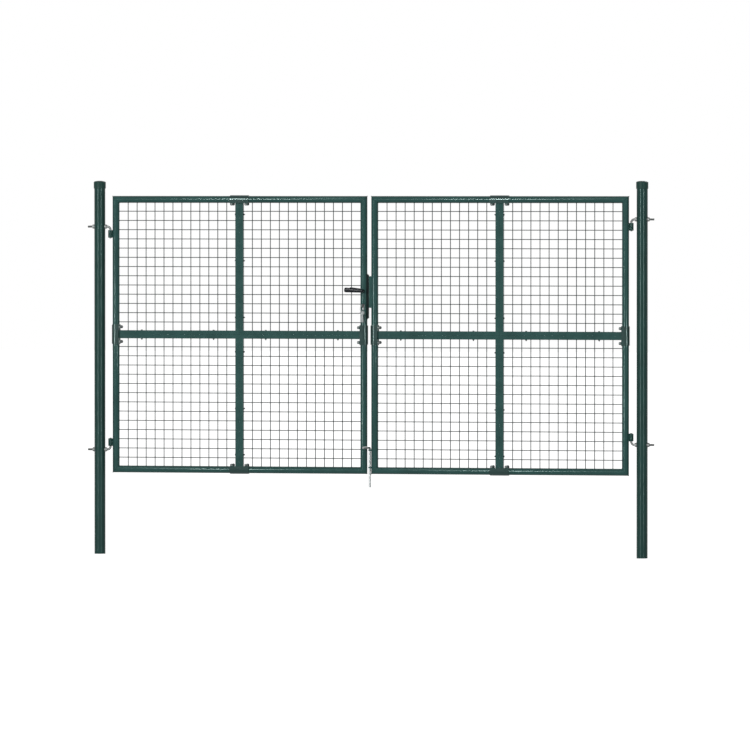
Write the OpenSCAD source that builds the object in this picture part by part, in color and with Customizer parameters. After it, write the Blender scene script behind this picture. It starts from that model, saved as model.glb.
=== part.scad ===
// Double garden gate: two mesh leaves hung on round posts with hook hinges.
// Each leaf is bolted together from four welded quarter panels.
// Origin: centre of the left post's foot. X runs along the closed gate to the right,
// Y runs to the back, Z runs up. All lengths are millimetres.

/* [Posts] */
// Distance between the centre lines of the two posts
post_span = 3000; // [2600:10:3400]
// How far a post stands above the top of the leaves
post_rise = 73; // [40:1:300]
// Outer diameter of a post
post_d = 60; // [56:1:70]
// Wall thickness of a post
post_wall = 1.5; // [1.2:0.1:4]

/* [Post caps] */
// Wall thickness of the plastic cap's skirt
cap_wall = 2.7; // [2:0.1:4]
// How far the skirt runs down the post
cap_skirt = 33; // [20:1:50]
// Thickness of the cap's lid at its rim
cap_lid = 3; // [2:0.5:6]
// Rise of the domed lid above its rim
cap_dome = 6; // [3:0.5:12]

/* [Leaves] */
// Height of a leaf's frame
leaf_height = 1500; // [1300:10:1700]
// Height of the leaves' undersides above the post feet
leaf_lift = 442; // [300:1:600]
// Gap between a post and the stile next to it
post_gap = 42; // [40:1:48]
// Gap between the two closed leaves
centre_gap = 22; // [21:0.5:26]
// Outer diameter of the round frame tube
tube_d = 38; // [34:1:42]
// Wall thickness of the round frame tube
tube_wall = 1.5; // [1.2:0.1:3]
// Side of the square tubes that bolt together in the middle of a leaf
bar_side = 22; // [18:1:26]
// Wall thickness of the square tubes
bar_wall = 1.5; // [1:0.1:3]

/* [Mesh] */
// Distance between neighbouring wires
mesh_pitch = 50; // [40:1:80]
// Diameter of a mesh wire
wire_d = 4.5; // [3:0.5:6]
// Depth to which crossing wires are welded into each other
wire_weld = 1; // [0.5:0.1:1.5]

/* [Bar bolts] */
// Diameter of the bolts through the paired square tubes
bar_bolt_d = 6; // [5:1:8]
// First bolt of the upright pair, from the middle crossing
upright_bolt_near = 93; // [60:1:150]
// Second bolt of the upright pair, from the middle crossing
upright_bolt_mid = 400; // [300:1:450]
// Last bolt of the upright pair, from the inner edge of the rail
upright_bolt_end = 62; // [50:1:120]
// First bolt of the level pair, from the middle crossing
level_bolt_near = 145; // [80:1:250]
// Last bolt of the level pair, from the inner edge of the stile
level_bolt_end = 125; // [60:1:200]

/* [Sleeves] */
// Length of a saddle sleeve where it lies on the tube
sleeve_length = 108; // [104:1:140]
// How much shorter the sleeve's outer face is at each chamfered end
sleeve_chamfer = 4; // [2:1:10]
// Sheet thickness of a sleeve
sleeve_wall = 4; // [2:0.5:5]
// Distance of an ear's middle from the sleeve's middle
ear_offset = 40; // [36:1:46]
// Width of an ear along the tube
ear_width = 16; // [14:1:20]
// How far an ear reaches past the inner edge of the tube
ear_reach = 14; // [13:1:22]
// Diameter of the bolts through the ears
ear_bolt_d = 6; // [5:1:8]

/* [Hinges] */
// Diameter of the hook bolt's rod and pin
hook_d = 12; // [8:1:13]
// Radius of the hook's bend, at the middle of the rod
hook_bend = 17; // [13:1:18]
// How far the threaded end stands out of the post
hook_tail = 36; // [28:1:60]
// Outer diameter of a hinge knuckle
knuckle_d = 25; // [22:1:28]
// Length of a hinge knuckle
knuckle_length = 41; // [30:1:60]
// Middle of the nearer knuckle from its end of the leaf
knuckle_near = 164; // [120:1:240]
// Middle of the farther knuckle from its end of the leaf
knuckle_far = 206; // [150:1:300]
// Radial play of the pin in the knuckle
hinge_play = 0.3; // [0.2:0.05:0.5]
// Space between the knuckle's end and the start of the hook's bend
hinge_shoulder = 2; // [1:0.5:4]
// Across flats of the hinge nuts
nut_flats = 19; // [17:1:21]
// Thickness of a hinge nut
nut_height = 8; // [6:0.5:9]
// Diameter of a hinge washer
washer_d = 24; // [20:1:27]
// Thickness of a hinge washer
washer_height = 2; // [1.5:0.1:3]

/* [Lock] */
// Height of the lever's axis above the middle of the leaf
lever_rise = 238; // [200:1:280]
// Reach of the lever from its axis
lever_length = 96; // [80:1:130]
// Height of the lever's grip
lever_grip = 26; // [19:1:28]
// Thickness of the lever's grip
lever_thick = 11; // [8:0.5:14]
// Distance from the stile to the back of the lever's grip
lever_stand = 34; // [30:1:45]
// How much the resting lever slopes up to its tip, in degrees
lever_slope = 4; // [0:0.5:8]
// Diameter of the lever's neck
lever_neck_d = 17; // [14:1:19]
// Diameter of the spindle inside the stile
spindle_d = 10; // [8:1:12]
// Top of the lock's face plate above the middle of the leaf
face_top = 331; // [310:1:360]
// Bottom of the lock's face plate above the middle of the leaf
face_bottom = 85; // [75:1:100]
// How far the face plate stands out of the stile
face_proud = 8; // [6:0.5:9]
// Width of the face plate
face_width = 22; // [18:1:26]
// Drop from the lever's axis to the middle of the latch
latch_drop = 24; // [20:1:30]
// Height of the latch
latch_height = 16; // [12:1:20]
// Thickness of the latch
latch_thick = 8; // [6:1:10]
// How far the latch stands out of the face plate
latch_throw = 11; // [9:0.5:11]
// Height of the key cylinder's axis above the middle of the leaf
key_rise = 159; // [150:1:175]

/* [Strike] */
// Top of the strike channel above the middle of the leaf
strike_top = 318; // [290:1:330]
// Bottom of the strike channel above the middle of the leaf
strike_bottom = 147; // [130:1:170]
// Width of the strike channel from front to back
strike_width = 30; // [28:1:34]
// Sheet thickness of the strike channel
strike_wall = 2.5; // [2:0.5:4]
// Gap between the lock's face plate and the strike channel
strike_gap = 2.5; // [1.5:0.5:4]

/* [Drop bolt] */
// Diameter of the drop bolt
drop_d = 12; // [10:1:13]
// How far the drop bolt's tip hangs below the leaf
drop_tip = 72; // [60:1:100]
// Height of the lower guide's middle above the leaf's underside
guide_low = 35; // [25:1:60]
// Height of the upper guide's middle above the leaf's underside
guide_high = 129; // [110:1:170]
// Height of a guide
guide_height = 8; // [6:1:12]
// Wall of a guide around the bolt
guide_wall = 2.5; // [2:0.5:3]
// Radius of the drop bolt's bend, at the middle of the rod
drop_bend = 10; // [8:1:14]
// Reach of the drop bolt's handle from its axis
drop_handle = 62; // [50:1:70]
// Turn of the drop bolt's handle from the gate's plane, in degrees
drop_turn = 64; // [62:1:75]

/* [Hidden] */
$fn = 64;
// Clearance of parts that slide or turn in one another
run_fit = 0.3;
// Clearance of bolts, nuts and caps on what they grip
grip_fit = 0.1;
// Overshoot of cutting tools
over = 2;
// Sides of a mesh wire and of a hexagon
wire_sides = 8;
hex_sides = 6;
// Across flats and height of a bolt head or nut, for each millimetre of thread
bolt_flats = 1.6;
bolt_head = 0.65;
// How far a bolt's thread stands out of its nut
bolt_tail = 4;
// Across corners of a hexagon, for each millimetre across its flats
hex_corners = 1 / cos(180 / hex_sides);

post_r = post_d / 2;
tube_r = tube_d / 2;
tube_bore = tube_d - 2 * tube_wall;
left_edge = post_r + post_gap;
right_edge = post_span - left_edge;
leaf_width = (right_edge - left_edge - centre_gap) / 2;
half_w = leaf_width / 2;
half_h = leaf_height / 2;
leaf_top = leaf_lift + leaf_height;
post_height = leaf_top + post_rise;

// Opening of a quarter panel
pane_w = half_w - tube_d - bar_side;
pane_h = half_h - tube_d - bar_side;
upright_count = floor(pane_w / mesh_pitch);
level_count = floor(pane_h / mesh_pitch);
upright_first = tube_d + (pane_w - (upright_count - 1) * mesh_pitch) / 2;
level_first = tube_d + (pane_h - (level_count - 1) * mesh_pitch) / 2;
wire_shift = (wire_d - wire_weld) / 2;

// Bolt places, from the outer corner of a quarter panel
upright_bolts = [half_h - upright_bolt_near, half_h - upright_bolt_mid, tube_d + upright_bolt_end];
level_bolts = [half_w - level_bolt_near, tube_d + level_bolt_end];

// Knuckles with their welds, and the hook bolts in them
knuckle_x = -knuckle_d / 2;
weld_width = 10;
weld_side = 7;
hook_drop = hook_bend + hinge_shoulder + knuckle_length / 2;
pin_over = 4;

stile_x = leaf_width - tube_r;
lever_z = half_h + lever_rise;
key_z = half_h + key_rise;
latch_z = lever_z - latch_drop;
// Start of the latch past the stile's centre line, and the flat left on its bevelled nose
latch_start = 3;
latch_flat = 1;
// Key cylinder: round head, web below it, whole height and stand-out at each side
cylinder_d = 17;
cylinder_web = 10;
cylinder_height = 33;
cylinder_proud = 4;

// Keys: plate, bow, hole with its rim, neck outside the cylinder and blade
key_front = tube_r + cylinder_proud;
key_slot_depth = 3;
key_thick = 2;
key_bow_d = 23;
key_hole_d = 7;
key_rim = 2.5;
key_neck = 2;
key_blade = 8;
spare_blade = 52;
key_play = 0.9;
key_offset = 2.2;
key_splay = 7;
ring_d = 30;
ring_wire = 1.6;
ring_turn = 45;

strike_x = leaf_width + face_proud + strike_gap;
strike_foot = leaf_width + centre_gap + tube_r;
// Clearance of the strike's slot round the latch
slot_fit = 0.5;

// Pointed end of the drop bolt and the wall left between a guide's bore and the stile
point_height = 4;
guide_back = 1.5;
drop_x = leaf_width + centre_gap - guide_back - run_fit - drop_d / 2;
drop_rest = leaf_lift + guide_high + guide_height / 2 + run_fit + drop_bend;

// ---- Helpers ----

// Round rod along X, Y or Z from the given start
module rod_x(d, length, sides = $fn) { rotate([0, 90, 0]) cylinder(d = d, h = length, $fn = sides); }
module rod_y(d, length, sides = $fn) { rotate([-90, 0, 0]) cylinder(d = d, h = length, $fn = sides); }
module rod_z(d, length, sides = $fn) { cylinder(d = d, h = length, $fn = sides); }

// Quarter bend of a rod in the XZ plane, round the origin from +X to +Z
module quarter_bend(d, radius) {
    rotate([90, 0, 0]) rotate_extrude(angle = 90) translate([radius, 0]) circle(d = d);
}

// Block centred on the gate's plane
module slab(x, z, size_x, size_y, size_z) {
    translate([x, -size_y / 2, z]) cube([size_x, size_y, size_z]);
}

// Flat outline in the XZ plane, given depth along Y and centred on the gate's plane
module upright_plate(points, depth) {
    translate([0, depth / 2, 0]) rotate([90, 0, 0]) linear_extrude(depth) polygon(points);
}

// Puts a left leaf's local frame (lower outer corner at the origin) in place
module on_left_leaf() { translate([left_edge, 0, leaf_lift]) children(); }

// Puts the mirrored frame in place for the right leaf
module on_right_leaf() { translate([right_edge, 0, leaf_lift]) mirror([1, 0, 0]) children(); }

// Moves a quarter panel's parts to the upper half, the lock half or both
module quarter(upper, lock) {
    translate([lock ? leaf_width : 0, 0, upper ? leaf_height : 0])
        mirror([lock ? 1 : 0, 0, 0]) mirror([0, 0, upper ? 1 : 0]) children();
}

// ---- Posts ----

module post() {
    difference() {
        rod_z(post_d, post_height);
        translate([0, 0, -over]) rod_z(post_d - 2 * post_wall, post_height + 2 * over);
        children();
    }
}

// Bores for the two hook bolts that go through a post
module hook_bores(heights) {
    for (z = heights)
        translate([-post_d, 0, z]) rod_x(hook_d + 2 * grip_fit, 2 * post_d);
}

module post_cap() {
    outer_d = post_d + 2 * (grip_fit + cap_wall);
    dome_r = (pow(outer_d / 2, 2) + pow(cap_dome, 2)) / (2 * cap_dome);
    difference() {
        translate([0, 0, post_height - cap_skirt]) rod_z(outer_d, cap_skirt + cap_lid + cap_dome);
        translate([0, 0, post_height - cap_skirt - over])
            rod_z(post_d + 2 * grip_fit, cap_skirt + over);
        difference() {
            translate([0, 0, post_height + cap_lid]) rod_z(outer_d + over, cap_dome + over);
            translate([0, 0, post_height + cap_lid + cap_dome - dome_r]) sphere(dome_r);
        }
    }
}

// ---- Hinges ----

left_upper_z = leaf_top - knuckle_far;
left_lower_z = leaf_lift + knuckle_near;
right_upper_z = leaf_top - knuckle_near;
right_lower_z = leaf_lift + knuckle_far;
hook_turn_x = left_edge + knuckle_x;

// Hook bolt at the left post; its pin points up, and its rod lies at height zero
module hook() {
    shank = post_r + hook_tail + hook_turn_x - hook_bend;
    translate([-post_r - hook_tail, 0, 0]) rod_x(hook_d, shank);
    translate([hook_turn_x - hook_bend, 0, hook_bend]) rotate([0, 90, 0])
        quarter_bend(hook_d, hook_bend);
    translate([hook_turn_x, 0, hook_bend])
        rod_z(hook_d, hinge_shoulder + knuckle_length + pin_over);
}

// Hook bolt placed at a knuckle's height, on either post, pin up or down
module hook_at(z, pin_up, right) {
    translate([right ? post_span : 0, 0, z - (pin_up ? 1 : -1) * hook_drop])
        mirror([right ? 1 : 0, 0, 0]) mirror([0, 0, pin_up ? 0 : 1]) hook();
}

hook_heights_left = [left_upper_z + hook_drop, left_lower_z - hook_drop];
hook_heights_right = [right_upper_z + hook_drop, right_lower_z - hook_drop];

// A child on each side of both posts at each hook bolt, growing away from the post
module at_hook_seats() {
    for (post_x = [0, post_span], z = post_x == 0 ? hook_heights_left : hook_heights_right, s = [0, 1])
        translate([post_x, 0, z]) mirror([s, 0, 0]) translate([post_r, 0, 0]) children();
}

module washer() {
    difference() {
        translate([-post_r, 0, 0]) rod_x(washer_d, post_r + washer_height);
        translate([-post_r, 0, -over - washer_d]) rod_z(post_d, 2 * (washer_d + over));
        translate([-post_r - over, 0, 0]) rod_x(hook_d + 2 * grip_fit, post_d);
    }
}

module nut() {
    difference() {
        translate([washer_height, 0, 0]) rod_x(nut_flats * hex_corners, nut_height, hex_sides);
        rod_x(hook_d + 2 * grip_fit, post_r);
    }
}

// Knuckle with the weld that joins it to the stile, in a leaf's local frame
module knuckle(z) {
    difference() {
        union() {
            translate([knuckle_x, 0, z - knuckle_length / 2]) rod_z(knuckle_d, knuckle_length);
            slab(-weld_side, z - knuckle_length / 2, 2 * weld_side, weld_width, knuckle_length);
        }
        translate([tube_r, 0, z - knuckle_length]) rod_z(tube_d, 2 * knuckle_length);
        translate([knuckle_x, 0, z - knuckle_length]) rod_z(hook_d + 2 * hinge_play, 2 * knuckle_length);
    }
}

// ---- Frames ----

// Two rods with a mitred corner, centre lines a tube radius inside the leaf's edges
module mitred_rods(d, length_x, length_z) {
    translate([tube_r, 0, tube_r]) {
        rod_x(d, length_x - tube_r);
        rod_z(d, length_z - tube_r);
        intersection() {
            translate([-tube_d, 0, 0]) rod_x(d, 2 * tube_d);
            translate([0, 0, -tube_d]) rod_z(d, 2 * tube_d);
        }
    }
}

// Welded frame of one quarter panel, outer corner at the origin
module quarter_frame() {
    bore_side = bar_side - 2 * bar_wall;
    bar_x = half_w - bar_side;
    bar_z = half_h - bar_side;
    difference() {
        union() {
            mitred_rods(tube_d, half_w, half_h);
            slab(bar_x, tube_r, bar_side, bar_side, half_h - tube_r);
            slab(tube_r, bar_z, half_w - tube_r, bar_side, bar_side);
        }
        mitred_rods(tube_bore, half_w + over, half_h + over);
        slab(bar_x + bar_wall, tube_r, bore_side, bore_side, half_h - tube_r - bar_wall);
        slab(tube_r, bar_z + bar_wall, half_w - tube_r - bar_wall, bore_side, bore_side);
        for (z = upright_bolts)
            translate([bar_x - over, 0, z]) rod_x(bar_bolt_d + 2 * grip_fit, bar_side + 2 * over);
        for (x = level_bolts)
            translate([x, 0, bar_z - over]) rod_z(bar_bolt_d + 2 * grip_fit, bar_side + 2 * over);
    }
}

// Welded wire sheet of one quarter panel
module quarter_mesh() {
    for (i = [0:upright_count - 1])
        translate([upright_first + i * mesh_pitch, -wire_shift, tube_d])
            rotate([0, 0, 180 / wire_sides]) rod_z(wire_d, pane_h, wire_sides);
    for (j = [0:level_count - 1])
        translate([tube_d, wire_shift, level_first + j * mesh_pitch])
            rotate([180 / wire_sides, 0, 0]) rod_x(wire_d, pane_w, wire_sides);
}

// Cuts that the lock needs in the left leaf's upper lock-side stile, in the leaf's frame
module lock_cuts() {
    translate([stile_x, -tube_d, lever_z]) rod_y(lever_neck_d + 2 * run_fit, 2 * tube_d);
    cylinder_shape(grip_fit, 2 * tube_d);
    slab(stile_x, latch_z - latch_height / 2 - run_fit, tube_d, latch_thick + 2 * run_fit,
        latch_height + 2 * run_fit);
}

// ---- Sleeves and bolts ----

// Saddle sleeve over a tube joint; tube along X, outer side down, centred on the origin
module sleeve() {
    outer_r = tube_r + grip_fit + sleeve_wall;
    half_l = sleeve_length / 2;
    difference() {
        intersection() {
            union() {
                translate([-half_l, 0, 0]) rod_x(2 * outer_r, sleeve_length);
                slab(-half_l, 0, sleeve_length, 2 * outer_r, tube_r);
                for (s = [-1, 1])
                    slab(s * ear_offset - ear_width / 2, tube_r, ear_width, 2 * outer_r, ear_reach);
            }
            upright_plate([
                [-half_l + sleeve_chamfer, -outer_r], [half_l - sleeve_chamfer, -outer_r],
                [half_l, -tube_r / 2], [half_l, tube_r + ear_reach],
                [-half_l, tube_r + ear_reach], [-half_l, -tube_r / 2]], 2 * tube_d);
        }
        translate([-sleeve_length, 0, 0]) rod_x(tube_d + 2 * grip_fit, 2 * sleeve_length);
        slab(-sleeve_length, 0, 2 * sleeve_length, tube_d + 2 * grip_fit, tube_d + ear_reach);
        for (s = [-1, 1])
            translate([s * ear_offset, -tube_d, tube_r + ear_reach / 2])
                rod_y(ear_bolt_d + 2 * grip_fit, 2 * tube_d);
    }
}

// Hexagon bolt along Y through both ears of a sleeve, head at the front
module ear_bolt() {
    grip = tube_r + grip_fit + sleeve_wall;
    across = bolt_flats * ear_bolt_d * hex_corners;
    head = bolt_head * ear_bolt_d;
    translate([0, -grip - head, 0]) rod_y(across, head, hex_sides);
    translate([0, -grip, 0]) rod_y(ear_bolt_d, 2 * grip + head + bolt_tail);
    translate([0, grip, 0]) rod_y(across, head, hex_sides);
}

// The four sleeve places of a leaf: children sit on the bottom, top, hinge and lock joints
module at_sleeves() {
    translate([half_w, 0, tube_r]) children();
    translate([half_w, 0, leaf_height - tube_r]) rotate([0, 180, 0]) children();
    translate([tube_r, 0, half_h]) rotate([0, 90, 0]) children();
    translate([stile_x, 0, half_h]) rotate([0, -90, 0]) children();
}

module leaf_sleeves() { at_sleeves() sleeve(); }

module leaf_sleeve_bolts() {
    at_sleeves()
        for (s = [-1, 1])
            translate([s * ear_offset, 0, tube_r + ear_reach / 2]) ear_bolt();
}

// Hexagon bolt along X through both square tubes of a pair, head on the negative side
module bar_bolt() {
    across = bolt_flats * bar_bolt_d * hex_corners;
    head = bolt_head * bar_bolt_d;
    translate([-bar_side - head, 0, 0]) rod_x(across, head, hex_sides);
    translate([-bar_side, 0, 0]) rod_x(bar_bolt_d, 2 * bar_side + head + bolt_tail);
    translate([bar_side, 0, 0]) rod_x(across, head, hex_sides);
}

module leaf_bar_bolts() {
    for (z = upright_bolts, upper = [false, true])
        translate([half_w, 0, upper ? leaf_height - z : z]) bar_bolt();
    for (x = level_bolts, lock = [false, true])
        translate([lock ? leaf_width - x : x, 0, half_h]) rotate([0, 90, 0]) bar_bolt();
}

// ---- Lock, in the left leaf's frame ----

module face_plate() {
    difference() {
        upright_plate([
            [stile_x, face_bottom + half_h], [leaf_width, face_bottom + half_h],
            [leaf_width + face_proud, face_bottom + half_h + face_proud],
            [leaf_width + face_proud, face_top + half_h - face_proud],
            [leaf_width, face_top + half_h], [stile_x, face_top + half_h]], face_width);
        translate([stile_x, 0, 0]) rod_z(tube_d, leaf_height);
        slab(stile_x, latch_z - latch_height / 2 - run_fit, tube_d, latch_thick + 2 * run_fit,
            latch_height + 2 * run_fit);
    }
}

// Key cylinder outline through the stile, grown by a clearance
module cylinder_shape(fit, length) {
    translate([stile_x, -length / 2, key_z]) rod_y(cylinder_d + 2 * fit, length);
    slab(stile_x - cylinder_web / 2 - fit, key_z + cylinder_d / 2 - cylinder_height - fit,
        cylinder_web + 2 * fit, length, cylinder_height - cylinder_d / 2);
}

module slotted_cylinder() {
    difference() {
        cylinder_shape(0, 2 * key_front);
        for (s = [-1, 1])
            translate([stile_x, s * key_front, key_z])
                cube([key_thick + 2 * grip_fit, 2 * key_slot_depth, key_blade + 2 * grip_fit], center = true);
    }
}

// Flat key in the XZ plane, centred on its hole, blade pointing down
module flat_key(blade_length) {
    bow_z = key_hole_d / 2 + key_rim - key_bow_d / 2;
    difference() {
        union() {
            translate([0, -key_thick / 2, bow_z]) rod_y(key_bow_d, key_thick);
            translate([-key_blade / 2, -key_thick / 2, bow_z - blade_length])
                cube([key_blade, key_thick, blade_length]);
        }
        translate([0, -key_thick, 0]) rod_y(key_hole_d, 2 * key_thick);
    }
}

// One key in the cylinder, a ring through its bow and two spare keys on the ring
module keys_on_ring() {
    hole_out = key_front + key_neck + key_bow_d - key_rim - key_hole_d / 2;
    hang = (key_hole_d - ring_wire) / 2 - key_play;
    ring_drop = sqrt(pow(ring_d / 2, 2) - pow(key_offset, 2));
    blade_in = key_neck + key_bow_d / 2 + key_slot_depth - grip_fit;
    translate([stile_x, -hole_out, key_z]) {
        rotate([0, 90, 0]) rotate([90, 0, 0]) flat_key(blade_in);
        translate([0, 0, -hang - ring_d / 2]) {
            rotate([0, 0, ring_turn]) rotate([90, 0, 0]) rotate_extrude()
                translate([ring_d / 2, 0]) circle(d = ring_wire);
            for (s = [-1, 1])
                rotate([0, 0, ring_turn]) translate([s * key_offset, 0, -ring_drop - hang])
                    rotate([0, 0, -ring_turn]) rotate([0, s * key_splay, 0]) flat_key(spare_blade);
        }
    }
}

// Lever, local to its axis: spindle along Y with a grip at the front and the back
module lever() {
    neck_out = lever_stand + lever_thick / 2;
    translate([0, -tube_r, 0]) rod_y(spindle_d, tube_d);
    for (s = [0, 1]) mirror([0, s, 0]) {
        translate([0, tube_r - tube_wall, 0]) rod_y(lever_neck_d, neck_out + tube_wall);
        translate([0, tube_r + lever_stand, 0]) rotate([0, lever_slope, 0]) lever_grip_shape();
    }
}

module lever_grip_shape() {
    end_r = lever_grip / 2;
    translate([0, lever_thick, 0]) rotate([90, 0, 0]) linear_extrude(lever_thick) {
        circle(r = lever_neck_d / 2);
        translate([end_r - lever_length, 0]) circle(r = end_r);
        polygon([
            [0, lever_neck_d / 2], [end_r - lever_length, end_r],
            [end_r - lever_length, -end_r], [0, -lever_neck_d / 2]]);
    }
}

// Latch with its nose bevelled at the front, in the left leaf's frame
module latch() {
    root_x = stile_x + latch_start;
    tip_x = leaf_width + face_proud + latch_throw;
    half_t = latch_thick / 2;
    translate([0, 0, latch_z - latch_height / 2]) linear_extrude(latch_height) polygon([
        [root_x, -half_t], [tip_x - latch_thick + latch_flat, -half_t],
        [tip_x, half_t - latch_flat], [tip_x, half_t], [root_x, half_t]]);
}

// ---- Strike and drop bolt, in the left leaf's frame so that they face the lock ----

module strike() {
    height = strike_top - strike_bottom;
    z = half_h + strike_bottom;
    difference() {
        slab(strike_x, z, strike_foot - strike_x, strike_width, height);
        slab(strike_x + strike_wall, z - over, strike_foot, strike_width - 2 * strike_wall,
            height + 2 * over);
        translate([strike_foot, 0, z - over]) rod_z(tube_d, height + 2 * over);
        slab(strike_x - over, latch_z - latch_height / 2 - slot_fit, strike_wall + 2 * over,
            latch_thick + 2 * slot_fit, latch_height + 2 * slot_fit);
    }
}

module guide(z) {
    outer_d = drop_d + 2 * (run_fit + guide_wall);
    difference() {
        translate([0, 0, z - guide_height / 2]) {
            translate([drop_x, 0, 0]) rod_z(outer_d, guide_height);
            translate([drop_x, -outer_d / 2, 0]) cube([strike_foot - drop_x, outer_d, guide_height]);
        }
        translate([strike_foot, 0, z - guide_height]) rod_z(tube_d, 2 * guide_height);
        translate([drop_x, 0, z - guide_height]) rod_z(drop_d + 2 * run_fit, 2 * guide_height);
    }
}

// Drop bolt with its handle bent to the left and the front, local to its axis at floor height
module drop_rod() {
    tip = leaf_lift - drop_tip;
    stem = drop_rest - drop_bend;
    rotate([0, 0, drop_turn]) {
        translate([0, 0, tip]) cylinder(d1 = drop_d - point_height, d2 = drop_d, h = point_height);
        translate([0, 0, tip + point_height]) rod_z(drop_d, stem - tip - point_height);
        translate([-drop_bend, 0, stem]) quarter_bend(drop_d, drop_bend);
        translate([-drop_handle, 0, drop_rest]) rod_x(drop_d, drop_handle - drop_bend);
    }
}

// ---- Colours ----

green = [0.18, 0.30, 0.27];
zinc = [0.62, 0.64, 0.65];
black = [0.07, 0.08, 0.08];
wire_grey = [0.35, 0.37, 0.37];
brass = [0.70, 0.68, 0.60];

// ---- Nodes ----

module left_post() { color(green) post() hook_bores(hook_heights_left); }
module right_post() { color(green) translate([post_span, 0, 0]) post() hook_bores(hook_heights_right); }
module left_post_cap() { color(green) post_cap(); }
module right_post_cap() { color(green) translate([post_span, 0, 0]) post_cap(); }
module left_upper_hook() { color(zinc) hook_at(left_upper_z, false, false); }
module left_lower_hook() { color(zinc) hook_at(left_lower_z, true, false); }
module right_upper_hook() { color(zinc) hook_at(right_upper_z, false, true); }
module right_lower_hook() { color(zinc) hook_at(right_lower_z, true, true); }
module hinge_washers() { color(zinc) at_hook_seats() washer(); }
module hinge_nuts() { color(zinc) at_hook_seats() nut(); }

module left_frame(upper, lock) { color(green) on_left_leaf() quarter(upper, lock) quarter_frame(); }
module left_frame_lower_hinge() { left_frame(false, false); }
module left_frame_upper_hinge() { left_frame(true, false); }
module left_frame_lower_lock() { left_frame(false, true); }

module left_frame_upper_lock() {
    color(green) on_left_leaf() difference() {
        quarter(true, true) quarter_frame();
        lock_cuts();
    }
}

module left_mesh(upper, lock) { color(wire_grey) on_left_leaf() quarter(upper, lock) quarter_mesh(); }
module left_mesh_lower_hinge() { left_mesh(false, false); }
module left_mesh_upper_hinge() { left_mesh(true, false); }
module left_mesh_lower_lock() { left_mesh(false, true); }
module left_mesh_upper_lock() { left_mesh(true, true); }

module right_frame(upper, lock) { color(green) on_right_leaf() quarter(upper, lock) quarter_frame(); }
module right_frame_lower_hinge() { right_frame(false, false); }
module right_frame_upper_hinge() { right_frame(true, false); }
module right_frame_lower_lock() { right_frame(false, true); }
module right_frame_upper_lock() { right_frame(true, true); }

module right_mesh(upper, lock) { color(wire_grey) on_right_leaf() quarter(upper, lock) quarter_mesh(); }
module right_mesh_lower_hinge() { right_mesh(false, false); }
module right_mesh_upper_hinge() { right_mesh(true, false); }
module right_mesh_lower_lock() { right_mesh(false, true); }
module right_mesh_upper_lock() { right_mesh(true, true); }

module left_sleeves() { color(green) on_left_leaf() leaf_sleeves(); }
module right_sleeves() { color(green) on_right_leaf() leaf_sleeves(); }
module left_sleeve_bolts() { color(zinc) on_left_leaf() leaf_sleeve_bolts(); }
module right_sleeve_bolts() { color(zinc) on_right_leaf() leaf_sleeve_bolts(); }
module left_bar_bolts() { color(zinc) on_left_leaf() leaf_bar_bolts(); }
module right_bar_bolts() { color(zinc) on_right_leaf() leaf_bar_bolts(); }

module left_knuckles() {
    color(green) on_left_leaf() {
        knuckle(left_upper_z - leaf_lift);
        knuckle(left_lower_z - leaf_lift);
    }
}

module right_knuckles() {
    color(green) on_right_leaf() {
        knuckle(right_upper_z - leaf_lift);
        knuckle(right_lower_z - leaf_lift);
    }
}

module lock_face_plate() { color(black) on_left_leaf() face_plate(); }
module key_cylinder() { color(brass) on_left_leaf() slotted_cylinder(); }
module hanging_keys() { color(brass) on_left_leaf() keys_on_ring(); }
module lock_lever() { color(black) on_left_leaf() translate([stile_x, 0, lever_z]) lever(); }
module lock_latch() { color(zinc) on_left_leaf() latch(); }
module strike_channel() { color(green) on_left_leaf() strike(); }

module drop_bolt_guides() {
    color(green) on_left_leaf() {
        guide(guide_low);
        guide(guide_high);
    }
}

module drop_bolt() { color(zinc) translate([left_edge + drop_x, 0, 0]) drop_rod(); }

// ---- Drawing ----

left_post();
right_post();
left_post_cap();
right_post_cap();
left_upper_hook();
left_lower_hook();
right_upper_hook();
right_lower_hook();
hinge_washers();
hinge_nuts();
left_frame_lower_hinge();
left_frame_upper_hinge();
left_frame_lower_lock();
left_frame_upper_lock();
left_mesh_lower_hinge();
left_mesh_upper_hinge();
left_mesh_lower_lock();
left_mesh_upper_lock();
left_sleeves();
left_sleeve_bolts();
left_bar_bolts();
left_knuckles();
lock_face_plate();
key_cylinder();
hanging_keys();
lock_lever();
lock_latch();
right_frame_lower_hinge();
right_frame_upper_hinge();
right_frame_lower_lock();
right_frame_upper_lock();
right_mesh_lower_hinge();
right_mesh_upper_hinge();
right_mesh_lower_lock();
right_mesh_upper_lock();
right_sleeves();
right_sleeve_bolts();
right_bar_bolts();
right_knuckles();
strike_channel();
drop_bolt_guides();
drop_bolt();
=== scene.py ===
"""Looks of the double garden gate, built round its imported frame.

Each sub-assembly is a class that makes its own meshes and dresses them. Lengths are
metres; X runs along the closed gate, Y to the back and Z up.
"""

import logging  # noqa: E402
import math  # noqa: E402
from dataclasses import dataclass, field  # noqa: E402
from enum import Enum  # noqa: E402
from typing import Callable, Iterable, Sequence  # noqa: E402

import bmesh  # noqa: E402
import bpy  # noqa: E402
from mathutils import Matrix, Vector  # noqa: E402
from mathutils.geometry import tessellate_polygon  # noqa: E402


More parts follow.
